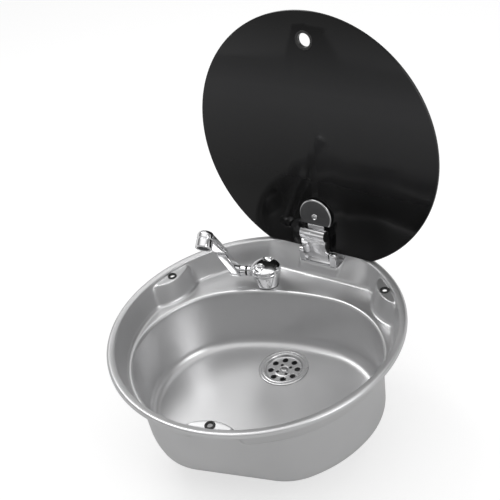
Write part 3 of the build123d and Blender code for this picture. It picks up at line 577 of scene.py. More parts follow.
def ray_to_circle(angle, centre, radius, far=True):
    """Distance from the sink's axis to a circle, along each angle."""
    along = centre[0] * np.cos(angle) + centre[1] * np.sin(angle)
    inside = np.maximum(radius ** 2 - centre[0] ** 2 - centre[1] ** 2 + along ** 2, 0.0)
    return along + np.sqrt(inside) * (1 if far else -1)


def bowl_radius(angle, grown):
    """Radius of the bowl outline, grown outwards by so much, at angles about the sink's axis."""
    side = np.arctan2(np.abs(np.cos(angle)), -np.sin(angle))
    ray = side - math.pi / 2
    flat_end = np.arctan2(BLEND_CENTRE[0], BOWL_FLAT + grown)
    blend_end = math.pi / 2 + math.atan2(BLEND_CENTRE[1], BLEND_CENTRE[0])
    arc_end = math.pi / 2 + math.atan2(CORNER_CENTRE[1], CORNER_CENTRE[0])
    reach = (CORNER_CENTRE[0] - BACK_CENTRE[0], CORNER_CENTRE[1] - BACK_CENTRE[1])
    share = (BOWL_BACK + grown) / math.hypot(*reach)
    corner_end = math.pi / 2 + np.arctan2(BACK_CENTRE[1] + reach[1] * share, reach[0] * share)
    return np.select(
        [side <= flat_end, side <= blend_end, side <= arc_end, side <= corner_end],
        [(BOWL_FLAT + grown) / np.cos(np.minimum(side, 1.2)),
         ray_to_circle(ray, BLEND_CENTRE, BOWL_BLEND + grown),
         BOWL_FRONT + grown + 0 * side,
         ray_to_circle(ray, CORNER_CENTRE, BOWL_CORNER + grown)],
        ray_to_circle(ray, BACK_CENTRE, BOWL_BACK + grown))


def apart(angle, degrees):
    """Unsigned angle from a direction."""
    return np.abs((angle - math.radians(degrees) + math.pi) % (2 * math.pi) - math.pi)


def recess_radius(angle, inset):
    """Radius of the recess outline, moved inwards by so much."""
    radius = RECESS_RADIUS - inset + 0 * angle
    inner = RECESS_RADIUS - TAB_FILLET
    cosine = (inner ** 2 + TAB_CENTRE ** 2 - (TAB_BULGE + TAB_FILLET) ** 2) / (2 * inner * TAB_CENTRE)
    turn = math.acos(cosine)
    corner = np.array([inner * math.cos(turn), inner * math.sin(turn)])
    for place in TAB_ANGLES:
        away = apart(angle, place)
        reach = np.array([TAB_CENTRE, 0.0]) - corner
        unit = reach / np.hypot(*reach)
        along = TAB_FILLET - inset
        touch = np.arctan2(corner[1] + unit[1] * along, corner[0] + unit[0] * along)
        on_fillet = ray_to_circle(away, corner, TAB_FILLET - inset)
        on_tab = ray_to_circle(away, (TAB_CENTRE, 0.0), TAB_BULGE + inset, far=False)
        radius = np.where(away < turn, on_fillet, radius)
        radius = np.where(away < touch, on_tab, radius)
    away = apart(angle, HINGE_ANGLE)
    aside = math.sqrt(inner ** 2 - (HINGE_FLAT - TAB_FILLET) ** 2)
    corner = (HINGE_FLAT - TAB_FILLET, aside)
    radius = np.where(away < math.atan2(corner[1], corner[0]),
                      ray_to_circle(away, corner, TAB_FILLET - inset), radius)
    return np.where(away < np.arctan2(aside, HINGE_FLAT - inset),
                    (HINGE_FLAT - inset) / np.cos(np.minimum(away, 1.0)), radius)


def smooth(value, start, end):
    """Rises softly from 0 to 1 between two values."""
    t = np.clip((value - start) / (end - start), 0.0, 1.0)
    return t * t * (3 - 2 * t)


def pressed_rows(sizes, angle):
    """Rings of (radius, height) over the angles, from the rim's skirt in to the edge of the floor."""
    rim, high = sizes.rim_radius / MM, sizes.rim_height / MM
    wall, ledge = sizes.wall_radius / MM, -sizes.ledge_depth / MM
    floor, fillet = -sizes.bowl_depth / MM, sizes.floor_radius / MM
    full = 0 * angle
    rows = []

    def add(radius, height):
        rows.append((radius + full, height + full))

    for height in (0.0, 1.0, 2.0):
        add(rim, height)
    for t in np.linspace(0, math.pi / 2, 9):
        add(rim - RIM_ROLL * (1 - math.cos(t)), high - RIM_ROLL * (1 - math.sin(t)))
    add(rim - 5.4, high - 0.1)
    add(rim - 7.2, high - 0.5)
    for t in np.linspace(math.pi / 8, math.pi / 2, 7):
        add(wall + RIM_ROLL * (1 - math.sin(t)), high - 0.6 - WALL_TURN * (1 - math.cos(t)))

    foot, lip = recess_radius(angle, (LAND_DEPTH - ledge) * RECESS_DRAFT), bowl_radius(angle, 0.0)
    turn = np.clip(0.47 * (foot - lip), 1.0, 5.0)
    hinge_way = np.degrees(apart(angle, HINGE_ANGLE))
    notch = 1 - smooth(hinge_way, NOTCH_INNER, NOTCH_OUTER)
    at_hinge = 1 - smooth(hinge_way, 31.0, 36.0)
    width = wall - recess_radius(angle, 0.0)
    stepped = smooth(width, 0.6, 5.0) * (1 - at_hinge * (1 - notch))
    fall = (LAND_SLOPE * at_hinge * (1 - notch)) * width
    land = LAND_DEPTH - NOTCH_DEPTH * notch
    foot_turn = np.minimum(1.8 + 3.0 * at_hinge * (1 - notch), 0.42 * width)
    edge_turn = np.minimum(1.7 + 6.5 * at_hinge * (1 - notch) + 1.0 * notch, 0.5 * width)

    def recess(height):
        return recess_radius(angle, np.clip(-height, 0, 60) * RECESS_DRAFT)

    start, top = wall - foot_turn, land - fall - edge_turn
    edge = recess(top) + edge_turn
    stepped_rows = []
    for share in (0.35, 0.7):
        stepped_rows.append((wall + full, WALL_TOP + (land + foot_turn - WALL_TOP) * share))
    for t in np.linspace(0, math.pi / 2, 6):
        stepped_rows.append((wall - foot_turn * (1 - math.cos(t)), land + foot_turn * (1 - math.sin(t))))
    for share in (0.25, 0.5, 0.75):
        stepped_rows.append((start + (edge - start) * share, land - fall * share))
    for t in np.linspace(0, math.pi / 2, 8):
        height = land - fall - edge_turn * (1 - math.cos(t))
        stepped_rows.append((recess(height) + edge_turn * (1 - math.sin(t)), height))
    for share in (0.15, 0.3, 0.45, 0.6, 0.75, 0.88):
        height = top + (ledge + turn - top) * share
        stepped_rows.append((recess(height), height))
    low = recess(ledge + turn)
    for k, (radius, height) in enumerate(stepped_rows):
        share = (k + 1) / (len(stepped_rows) + 1)
        plain_height = WALL_TOP + (ledge + turn - WALL_TOP) * share
        plain_radius = wall + (low - wall) * share
        add(plain_radius + (radius - plain_radius) * stepped,
            plain_height + (height - plain_height) * stepped)

    for t in np.linspace(0, math.pi / 2, 7):
        height = ledge + turn * (1 - math.sin(t))
        add(recess(height) - turn * (1 - math.cos(t)), height)
    for share in (0.25, 0.5, 0.75):
        add(foot - turn + (lip + 2 * turn - foot) * share, ledge)
    for t in np.linspace(0, math.pi / 2, 7):
        add(lip + turn * (1 - math.sin(t)), ledge - turn * (1 - math.cos(t)))

    def bowl(height, inward=0.0):
        depth = np.clip(ledge - height, 0, 200)
        return bowl_radius(angle, -depth * BOWL_DRAFT - inward)

    low = floor + fillet
    for share in (0.12, 0.25, 0.38, 0.5, 0.62, 0.75, 0.88):
        height = ledge - turn + (low - ledge + turn) * share
        add(bowl(height), height)
    for t in np.linspace(0, math.pi / 2, 11):
        height = floor + fillet * (1 - math.sin(t)) + full
        add(bowl(height, fillet * (1 - math.cos(t))), height)
    return rows


def sheet_angles():
    """Angles round the sink, closer together at the hinge."""
    angles = set(np.arange(0, 360, 1.0).round(3)) | set(np.arange(40, 108, 0.5).round(3))
    return np.radians(sorted(angles))


def pressed_sheet(sizes):
    """The pressed sheet as one surface of rings, run in to the waste hole, then given its thickness."""
    angle = sheet_angles()
    rings = [np.c_[r * np.cos(angle), r * np.sin(angle), z] for r, z in pressed_rows(sizes, angle)]
    last = rings[-1]
    hole = np.c_[WASTE_PLACE[0] + WASTE_HOLE * np.cos(angle), WASTE_PLACE[1] + WASTE_HOLE * np.sin(angle),
                 last[:, 2]]
    for share in (0.08, 0.2, 0.35, 0.5, 0.65, 0.8, 0.92, 1.0):
        rings.append(last * (1 - share) + hole * share)
    count = len(angle)
    points = np.concatenate(rings)
    faces = grid_faces(len(rings), count)
    surface = loose_object("work_sheet", mesh_from(points, faces, "pressed_sheet"))
    solid = surface.modifiers.new("sheet", "SOLIDIFY")
    solid.thickness = sizes.sheet
    solid.offset = -1.0
    solid.use_quality_normals = True
    return applied(surface, "pressed_sheet")


def drill(radius, x, y, low, high, matrix=None):
    """A plain upright rod, for cutting round holes with."""
    profile = [(0, low), (radius, low), (radius, high), (0, high)]
    place = Matrix.Translation((x, y, 0))
    return lathe("drill", profile, (matrix @ place) if matrix else place, 40)


# ---------------------------------------------------------------- pieces

def turned(name, node, slot, profile, ease, matrix=None, segments=64, steps=4, body="sink"):
    """A piece that is one solid of revolution, with the corners of its profile rounded."""
    mesh = lathe(name, rounded(profile, ease, steps), matrix, segments)
    finish_object(name, mesh, body, slot, [node])


def build_pressed_sink(sizes):
    """The pressed sheet with the holes for the lid's buffers, the tap and the bracket's screws."""
    mesh = pressed_sheet(sizes)
    tabs = [math.radians(degrees) for degrees in TAB_ANGLES]
    drills = [drill(3.0, FIXING_RADIUS * math.cos(a), FIXING_RADIUS * math.sin(a), -4, 4) for a in tabs]
    drills.append(drill(11.0, TAP_PLACE[0], TAP_PLACE[1], -38, -30))
    drills += [drill(2.3, x, BRACKET_SCREW_ROW, -18, -12, HINGE_TURN)
               for x in (-BRACKET_SCREW_SPREAD, BRACKET_SCREW_SPREAD)]
    mesh = cut_away(mesh, joined("drills", *drills), "pressed_sink")
    finish_object("pressed_sink", sharpen(mesh, 50.0), "sink", "steel", ["sink_bowl"])


def build_rim_seal():
    """Rubber seal under the rolled rim."""
    profile = [(201.0, 0.0), (208.6, 0.0), (208.6, 3.5), (207.5, 5.0), (201.0, 5.0), (201.0, 0.1)]
    turned("worktop_seal", "rim_seal", "rubber", profile, 0.5, None, 240)


def build_buffers():
    """Rubber rings on the three tabs."""
    profile = rounded([(3.4, 0.0), (6.9, 0.0), (6.9, 1.4), (6.1, 2.2), (4.8, 2.2), (4.4, 0.8), (3.4, 0.8),
                       (3.4, 0.1)], 0.4)
    shape = lathe("buffer", profile, None, 40)
    mesh = ring_pattern(shape, 3, FIXING_RADIUS, 30.0, Matrix(), FINISHES["rubber"], "tab_buffers")
    finish_object("tab_buffers", mesh, "sink", "rubber", ["lid_buffers"])


def build_strainer():
    """Strainer flange with its two rings of holes, and its middle screw."""
    profile = rounded([(0, -5.0), (28.0, -5.0), (29.5, -3.5), (29.5, 0.5), (38.5, 0.5), (38.5, 1.1),
                       (37.2, 2.0), (34.6, 2.1), (33.4, 1.5), (32.0, 2.0), (30.0, 1.9), (28.4, 0.4),
                       (28.0, -3.0), (26.6, -3.5), (14.5, -3.5), (13.5, -3.1), (7.5, -3.1), (6.8, -3.5),
                       (0, -3.5)], 0.8)
    plate = lathe("strainer", profile, None, 96)
    large = ring_pattern(drill(4.6, 0, 0, -7, 0), 8, 20.5, 10.0, Matrix(), None, "large_holes")
    small = ring_pattern(drill(2.6, 0, 0, -7, 0), 4, 10.5, 32.0, Matrix(), None, "small_holes")
    holes = joined("holes", large, small, drill(3.1, 0, 0, -7, 0))
    mesh = eased(moved(cut_away(plate, holes, "strainer"), WASTE), "strainer", 0.35, 50.0)
    finish_object("strainer", mesh, "sink", "chrome", ["waste_flange"], "drain_steel")

    head = rounded([(0, -26.5), (2.6, -26.5), (3.0, -25.5), (3.0, -3.5), (6.0, -3.5), (6.0, -2.3),
                    (4.0, -0.9), (0, -0.9)], 0.5)
    slot = block("slot", (-4.3, -0.7, -1.9), (4.3, 0.7, 0.2))
    mesh = cut_away(lathe("strainer_screw", head, None, 48), slot, "strainer_screw")
    finish_object("strainer_screw", sharpen(moved(mesh, WASTE)), "sink", "bright_steel", ["waste_screw"])


def build_drain_cup():
    """Moulded cup under the floor with its cross, boss and ribbed hose spigot."""
    spigot = []
    for k in range(5):
        low = -63.5 + 5.0 * k
        spigot += [(12.0, low), (12.5, low + 1.0), (12.5, low + 3.0), (12.0, low + 4.6)]
    outer = [(12.5, -33.0), (14.0, -30.0), (33.0, -24.0), (34.5, -17.0), (34.5, -6.3), (38.0, -6.3),
             (38.0, -3.3)]
    inner = [(31.5, -3.3), (31.5, -15.0), (30.2, -22.0), (10.0, -27.5), (10.0, -65.0)]
    wall = rounded([(10.0, -65.0), (11.9, -65.0)] + spigot + outer + inner, 0.6, 2)
    cup = lathe("drain_cup", wall, None, 96)
    webs = [block("web", (-31.2, -1.5, -25.5), (31.2, 1.5, -16.5)),
            block("web", (-1.5, -31.2, -25.5), (1.5, 31.2, -16.5))]
    bore = [(3.05, -26.0), (7.5, -26.0), (7.5, -12.0), (3.05, -12.0), (3.05, -25.9)]
    webs = [cut_away(web, drill(6.0, 0, 0, -30, -10), "web") for web in webs]
    mesh = joined("drain_cup", cup, *webs, lathe("boss", rounded(bore, 0.4, 2), None, 40))
    finish_object("drain_cup", moved(mesh, WASTE), "sink", "grey_plastic", ["waste_body"])


def build_glass(sizes):
    """Round glass with a polished edge, a straight side and two drilled holes."""
    radius, thick = sizes.glass_radius / MM, sizes.glass_thickness / MM
    chord, count = GLASS_CHORD, 720
    angle = np.linspace(0, 2 * math.pi, count, endpoint=False)
    away = np.abs((angle - math.pi / 2 + math.pi) % (2 * math.pi) - math.pi)

    def edge(inset):
        inner, turn = radius - inset, GLASS_CORNER
        aside = math.sqrt((radius - turn) ** 2 - (chord - turn) ** 2)
        outline = inner + 0 * angle
        outline = np.where(away < math.atan2(aside, chord - turn),
                           ray_to_circle(away, (chord - turn, aside), turn - inset), outline)
        return np.where(away < math.atan2(aside, chord - inset),
                        (chord - inset) / np.cos(np.minimum(away, 1.0)), outline)

    rings = []
    for t in np.linspace(math.pi / 2, -math.pi / 2, 9):
        inset = GLASS_BEVEL * (1 - math.cos(t))
        flat = (thick / 2 - GLASS_BEVEL) * np.sign(math.sin(t)) * (abs(t) > 1e-6)
        height = GLASS_UNDERSIDE + thick / 2 + flat + GLASS_BEVEL * math.sin(t)
        r = edge(inset)
        rings.append(np.c_[r * np.cos(angle), r * np.sin(angle), height + 0 * angle])
    holes = joined("holes", drill(11.6, 0, FINGER_HOLE, 0, 20), drill(6.0, 0, CLAMP_HOLE, 0, 20))
    mesh = cut_away(skin("glass", rings), holes, "glass")
    finish_object("glass", sharpen(moved(mesh, LID_OPEN), 30.0), "lid", "dark_glass", ["glass_lid"])


def build_finger_ring():
    """Black ring in the finger hole."""
    low, high = GLASS_UNDERSIDE, GLASS_FACE
    ring = [(10.0, low - 0.4), (10.4, low - 0.8), (13.2, low - 0.8), (13.6, low - 0.4), (13.6, low),
            (11.5, low), (11.5, high), (13.6, high), (13.6, high + 0.4), (13.2, high + 0.8),
            (10.4, high + 0.8), (10.0, high + 0.4), (10.0, low - 0.3)]
    place = LID_OPEN @ Matrix.Translation((0, FINGER_HOLE, 0))
    turned("finger_ring", "finger_grommet", "black_plastic", ring, 0.3, place, 96, 3, "lid")


def build_clamp():
    """Bevelled disc, dark plate, cap and bolt that hold the glass."""
    for node, name, ease, slot in (("clamp_disc", "clamp_bevel", 0.5, "bright_steel"),
                                   ("clamp_face", "clamp_plate", 0.2, "dark_plate"),
                                   ("outer_cap", "back_cap", 0.5, "dark_plate"),
                                   ("clamp_screw", "clamp_bolt", 0.2, "bright_steel")):
        finish_object(name, eased_copy(node, name, ease), "lid", slot, [node])


ARM_TOP = 2.13
LEVER_HALF_WIDTH = 20.4


def beside_lid(points):
    """Side-view points, along the glass from the hinge and out of its face, as (y, z) of the closed lid."""
    return [(HINGE_DISTANCE - s, HINGE_Z + w) for s, w in points]


def build_lever():
    """Chromed lever from the hinge pin to the glass: barrel, ribbed front, round ridge and blade."""
    ridge = arc((38.19, -6.18), 10.45, 228.3, 321.0, 16)
    front = rounded([(-4.85, -2.4), (-4.4, -8.0), (-2.6, -9.8), (6.0, -11.0), (26.0, -13.2), (26.8, -11.2),
                     (30.4, -11.6), ridge[0]], 1.0, 3)
    outline = [(30.0, ARM_TOP)] + arc((0.0, 0.0), 5.4, 23.2, 206.3, 24) + front[:-1] + ridge
    outline += rounded([ridge[-1], (46.0, -8.0), (46.0, ARM_TOP), (40.0, ARM_TOP)], 1.0, 3)[1:-1]
    body = drawn_out("lever", beside_lid(outline), -LEVER_HALF_WIDTH, LEVER_HALF_WIDTH, None, 1.0)
    top = HINGE_Z + ARM_TOP
    pocket = block("pocket", (-16.9, HINGE_DISTANCE - 40, top - 9), (16.9, HINGE_DISTANCE - 10, top + 5))
    body = cut_away(body, pocket, "lever")
    bore = lathe("bore", [(0, -40), (3.05, -40), (3.05, 40), (0, 40)],
                 Matrix.Translation((0, HINGE_DISTANCE, HINGE_Z)) @ PIN_TURN, 40)
    body = cut_away(body, bore, "lever")
    blade = block("blade", (-10, HINGE_DISTANCE - 74.4, top - 2), (10, HINGE_DISTANCE - 44, top))
    blade = cut_away(blade, drill(3.1, 0, CLAMP_HOLE, -5, 15), "blade")
    neck = block("neck", (-14, HINGE_DISTANCE - 49.4, top - 4), (14, HINGE_DISTANCE - 44, top))
    neck = eased(neck, "neck", 0.6)
    mesh = joined("hinge_lever", body, blade, neck)
    finish_object("hinge_lever", sharpen(moved(mesh, LID_OPEN), 40.0), "lid", "chrome", ["hinge_arm"])

    # Painted shade: a black cap on the lever's right end, put where that end shows only shade and dark
    # reflection.
    oval = arc((13.0, -5.0), 5.0, 90, 270, 14) + arc((23.0, -5.6), 5.0, 270, 450, 14)
    cap = drawn_out("lever_end", beside_lid(oval), LEVER_HALF_WIDTH - 0.5, LEVER_HALF_WIDTH + 0.6,
                    LID_OPEN, 0.4)
    finish_object("lever_end", cap, "lid", "black_plastic")


def build_bracket():
    """Bracket on the notch floor with two rounded cheeks, its pin, screws and nuts."""
    floor = -NOTCH_DEPTH
    axis = (HINGE_DISTANCE, HINGE_Z)
    cheek = rounded([(180.0, floor), (172.4, floor), (172.4, floor + 3.0), (172.5, 1.6)], 0.8, 2)
    cheek += arc(axis, 5.5, 187.0, 21.0, 24)
    cheek += rounded([(183.2, 4.2), (188.4, floor + 3.0), (188.4, floor), (180.0, floor)], 0.8, 2)[1:]
    shapes = [drawn_out("cheek", cheek, low, low + 9.5, HINGE_TURN, 1.0) for low in (21.5, -31.0)]
    bore = lathe("bore", [(0, -60), (3.02, -60), (3.02, 60), (0, 60)],
                 PIN_LINE, 40)
    for k in range(2):
        shapes[k] = cut_away(shapes[k], bore.copy(), "cheek")
    plate = eased(block("plate", (-31, 172.4, floor), (31, 193.0, floor + 3), HINGE_TURN), "plate", 0.7)
    for x in (-BRACKET_SCREW_SPREAD, BRACKET_SCREW_SPREAD):
        plate = cut_away(plate, drill(2.2, x, BRACKET_SCREW_ROW, floor - 2, floor + 5, HINGE_TURN), "plate")
    mesh = joined("hinge_bracket", plate, *shapes)
    finish_object("hinge_bracket", sharpen(mesh, 40.0), "sink", "chrome", ["hinge_base"])

    pin = [(0, -31.0), (3.0, -31.0), (3.0, 31.0), (4.6, 31.0), (4.6, 31.8), (3.6, 32.5), (0, 32.5)]
    flip = Matrix.Rotation(math.pi, 4, "Y")
    turned("hinge_pin_bar", "hinge_pin", "bright_steel", pin, 0.4, PIN_LINE @ flip, 48)

    row = HINGE_TURN @ Matrix.Translation((0, BRACKET_SCREW_ROW, 0))
    screw = rounded([(0, -24.0), (1.6, -24.0), (2.0, -23.2), (2.0, -12.0), (4.0, -12.0), (4.0, -11.0),
                     (2.6, -10.0), (0, -10.0)], 0.4, 3)
    screw = lathe("screw", screw, None, 32)
    for wide, deep in ((1.8, 0.45), (0.45, 1.8)):
        slot = block("slot", (-wide, -deep, -11.2), (wide, deep, -9.0))
        screw = cut_away(screw, slot, "screw")
    bright = FINISHES["bright_steel"]
    mesh = ring_pattern(screw, 2, BRACKET_SCREW_SPREAD, 0.0, row, bright, "bracket_screws")
    finish_object("bracket_screws", sharpen(mesh), "sink", "bright_steel", ["hinge_screws"])
    nut = hexagon_nut(4.0, 2.02, -20.4, -16.8, 5.2, -16.8, -15.8)
    mesh = ring_pattern(nut, 2, BRACKET_SCREW_SPREAD, 0.0, row, bright, "bracket_nuts")
    finish_object("bracket_nuts", sharpen(mesh), "sink", "bright_steel", ["hinge_nuts"])


def hexagon_nut(half_flat, bore, low, high, flange=0.0, flange_low=0.0, flange_high=0.0):
    """A nut with eased corners, and a round flange where one is asked for."""
    corner = half_flat / math.cos(math.pi / 6)
    rings = []
    for inset, height in ((0.6, low), (0.0, low + 0.5), (0.0, high)):
        reach = corner - inset
        rings.append([(reach * math.cos(k * math.pi / 3), reach * math.sin(k * math.pi / 3), height)
                      for k in range(6)])
    nut = cut_away(skin("nut", rings), drill(bore, 0, 0, low - 2, high + 2), "nut")
    if not flange:
        return nut
    collar = rounded([(bore, flange_low), (flange, flange_low), (flange, flange_high), (bore, flange_high),
                      (bore, flange_low + 0.1)], 0.3, 2)
    return joined("nut", nut, lathe("collar", collar, None, 32))


def build_tap():
    """Flared body with its boss, the stub with two collars, a rubber ring and the pivot cap."""
    body = rounded([(9.95, -33), (16.8, -33), (17.4, -32), (21.6, -16), (23.0, -10.5), (23.0, -7.0),
                    (22.2, -6.0), (13.0, -6.0), (13.0, -24), (6, -24), (6, -26), (9.95, -26),
                    (9.95, -32.9)], 1.2)
    boss = lathe("boss", rounded([(0, 14.5), (5.8, 14.5), (5.8, 23.8), (0, 23.8)], 0.2), STUB_LINE, 48)
    shell = joined("tap_shell", lathe("shell", body, TAP, 128), boss)
    finish_object("tap_shell", shell, "sink", "chrome", ["tap_body"])
    stub = [(0, 15.5), (4.0, 15.5), (4.0, 23.8), (8.2, 23.8), (8.2, 28.8), (6.5, 28.8), (6.5, 31.8),
            (8.2, 31.8), (8.2, 40.6), (6.5, 40.6), (6.5, 55.4), (0, 55.4)]
    turned("spout_stub", "tap_stub", "chrome", stub, 0.7, STUB_LINE)
    ring = [(6.55, 28.9), (7.6, 28.9), (7.6, 31.7), (6.55, 31.7), (6.55, 29.0)]
    turned("stub_seal", "stub_ring", "rubber", ring, 0.6, STUB_LINE)
    cap = [(0, 45.4), (2.95, 45.4), (2.95, 55.4), (9.0, 55.4), (9.0, 56.6), (7.4, 58.0), (0, 58.3)]
    turned("spout_cap", "pivot_cap", "chrome", cap, 0.7, STUB_LINE)


def build_tap_foot():
    """Threaded shank, washer, nut and hose tail under the ledge."""
    thread = [(9.2, -72.0)]
    for k in range(22):
        low = -71.5 + 1.75 * k
        thread += [(9.2, low), (9.9, low + 0.7), (9.9, low + 1.0)]
    shank = thread + [(9.9, -32.0), (9.9, -26.0), (6.0, -26.0), (6.0, -72.0)]
    finish_object("threaded_shank", lathe("threaded_shank", shank, TAP, 64), "sink", "brass", ["tap_shank"])
    nut = hexagon_nut(13.0, 9.92, -43.4, -36.4)
    finish_object("shank_nut", sharpen(moved(nut, TAP)), "sink", "brass", ["tap_nut"])
    tail = rounded([(0, -95.0), (5.0, -95.0), (5.0, -75.0), (9.5, -75.0), (9.5, -72.0), (5.98, -72.0),
                    (5.98, -58.0), (0, -58.0)], 0.5)
    tail = cut_away(lathe("tail", tail, TAP, 48), drill(3.2, TAP_PLACE[0], TAP_PLACE[1], -100, -50), "tail")
    finish_object("hose_tail", sharpen(tail), "sink", "brass", ["tap_tail"])


KNOB_TURN = -16.0
KNOB_HOLLOWS = ((-3.0, 13.8), (-3.0, -13.8))
KNOB_HOLLOW_RADIUS = 9.2
KNOB_CREST, KNOB_FALL, KNOB_EDGE, KNOB_POWER = 4.6, 5.2, 22.6, 3.9
HOLLOW_SOFTNESS, HOLLOW_BANK = 0.45, 3.0


def build_knob():
    """Low domed knob: a bar is left across it between two round hollows with soft rims."""
    turn = np.linspace(0, 2 * math.pi, 160, endpoint=False)

    def level(radius, height):
        return np.c_[radius * np.cos(turn), radius * np.sin(turn), height + 0 * turn]

    def top(radius):
        ring = level(radius, KNOB_CREST - KNOB_FALL * (radius / KNOB_EDGE) ** KNOB_POWER)
        for x, y in KNOB_HOLLOWS:
            away = np.hypot(ring[:, 0] - x, ring[:, 1] - y)
            inside = np.maximum(KNOB_HOLLOW_RADIUS ** 2 - away ** 2, 0.0)
            bank = HOLLOW_BANK * np.maximum(away - KNOB_HOLLOW_RADIUS, 0.0)
            hollow = KNOB_CREST - np.sqrt(inside) + bank
            ring[:, 2] = -HOLLOW_SOFTNESS * np.logaddexp(-ring[:, 2] / HOLLOW_SOFTNESS,
                                                         -hollow / HOLLOW_SOFTNESS)
        return ring

    rings = [level(22.2, -5.6), level(22.6, -5.5), level(22.95, -5.1), level(23.0, -4.6), level(22.9, -3.2),
             level(22.75, -1.8), level(22.66, -1.1)]
    rings += [top(radius) for radius in np.linspace(22.55, 0.4, 64)]
    place = TAP @ Matrix.Rotation(math.radians(KNOB_TURN), 4, "Z")
    slot = block("slot", (10.5, -3.5, 0.4), (19.5, 3.5, 6.4), place)
    mesh = cut_away(skin("knob", rings, place), slot, "knob")
    mesh = cut_away(mesh, drill(4.02, TAP_PLACE[0], TAP_PLACE[1], -7, 0.4), "knob")
    finish_object("turning_knob", sharpen(mesh, 40.0), "knob", "chrome", ["tap_knob"])


def spout_ring(distance, width, depth, top, corner):
    """A rounded section of the spout, square to its length."""
    points = []
    for turn, x, z in ((0, 1, 1), (90, -1, 1), (180, -1, -1), (270, 1, -1)):
        centre = (x * (width / 2 - corner), top - depth / 2 + z * (depth / 2 - corner))
        points += [(u, -distance, v) for u, v in arc(centre, corner, turn, turn + 90, 6)]
    return points


def build_spout():
    """Arm with its hub, and the wider head with the nozzle and its perforated insert."""
    hub = rounded([(6.55, -7.0), (9.5, -7.0), (9.5, 7.0), (6.55, 7.0), (6.55, -6.9)], 1.0)
    rings = [spout_ring(7.6 + 65.9 * k / 8, 14.0, 15.5 - 4.0 * k / 8, 7.2, 3.0) for k in range(9)]
    tongue = block("tongue", (-7.0, -87.5, 1.6), (7.0, -70.5, 6.6), SPOUT)
    arm = joined("spout_bar", lathe("hub", hub, SPOUT @ PIN_TURN, 64), skin("bar", rings, SPOUT), tongue)
    finish_object("spout_bar", sharpen(arm, 50.0), "spout", "chrome", ["spout_arm"])

    rings = []
    for distance, inset in ((75.0, 0.9), (75.3, 0.35), (76.0, 0.0), (92.0, 0.0), (110.0, 0.0), (130.0, 0.0),
                            (142.0, 0.0)):
        depth = 9.4 + 2.0 * (distance - 75.0) / 67.0
        rings.append(spout_ring(distance, 20.6 - 2 * inset, depth - 2 * inset, 7.9 - inset, 3.5 - inset))
    socket = block("socket", (-7.02, -89.0, 1.58), (7.02, -74.0, 6.62), SPOUT)
    shell = cut_away(skin("shell", rings, SPOUT), socket, "shell")
    nozzle = rounded([(0, -9.0), (9.0, -9.0), (9.0, -17.0), (11.4, -17.0), (12.0, -16.0), (12.0, -5.4),
                      (11.2, -4.8), (11.2, -3.4), (12.0, -2.8), (12.0, 3.4), (9.9, 7.2), (6.0, 9.0),
                      (0, 9.6)], 1.0, 5)
    nozzle = lathe("nozzle", nozzle, SPOUT @ TO_NOZZLE, 96)
    head = joined("spout_hood", shell, nozzle)
    finish_object("spout_hood", sharpen(head, 50.0), "spout", "chrome", ["spout_head"])

    rim = [(0, -14.0), (7.0, -14.0), (7.0, -16.6), (8.95, -16.6), (8.95, -10.0), (7.0, -10.0),
           (7.0, -12.0), (0, -12.0)]
    rim = lathe("insert", rim, None, 64)
    holes = ring_pattern(drill(1.3, 0, 0, -15, -11), 6, 4.4, 0.0, Matrix(), None, "holes")
    insert = cut_away(rim, joined("holes", holes, drill(1.3, 0, 0, -15, -11)), "flow_insert")
    insert = moved(insert, SPOUT, TO_NOZZLE)
    finish_object("flow_insert", sharpen(insert), "spout", "grey_plastic", ["aerator"])


def build_kept_nodes():
    """Procedural finishes on the CAD nodes whose shapes are right as they are."""
    for name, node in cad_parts.items():
        if node.hide_render:
            continue
        for slot in node.material_slots:
            finish = slot.material.name.split(".")[0] if slot.material else "steel"
            slot.material = FINISHES.get(finish, FINISHES["steel"])


# ---------------------------------------------------------------- stage

def floor_lift(tree):
    """Extra light of the floor where the camera, a mirror or glass sees it."""
    path = tree.nodes.new("ShaderNodeLightPath")
    mirrored = added(tree, path.outputs["Is Glossy Ray"], path.outputs["Is Transmission Ray"], "MAXIMUM")
    seen = added(tree, path.outputs["Is Camera Ray"], FLOOR_LIFT, "MULTIPLY")
    return added(tree, seen, added(tree, mirrored, MIRRORED_LIFT, "MULTIPLY"))


def build_world(scene):
    """White surroundings, darker at eye level, so that the steel has something to mirror."""
    world = bpy.data.worlds.new("studio")
    scene.world = world
    world.use_nodes = True
    tree = world.node_tree
    room = tree.nodes["Background"]
    room.inputs["Color"].default_value = (1.0, 1.0, 1.0, 1.0)
    where = tree.nodes.new("ShaderNodeTexCoord")
    split = tree.nodes.new("ShaderNodeSeparateXYZ")
    tree.links.new(where.outputs["Generated"], split.inputs[0])
    light = tree.nodes.new("ShaderNodeFloatCurve")
    curve = light.mapping.curves[0]
    curve.points[0].location = SKY_CURVE[0]
    curve.points[1].location = SKY_CURVE[-1]
    for point in SKY_CURVE[1:-1]:
        curve.points.new(*point)
    light.mapping.update()
    tree.links.new(split.outputs["Z"], light.inputs["Value"])
    tree.links.new(added(tree, light.outputs[0], SKY_STRENGTH, "MULTIPLY"), room.inputs["Strength"])


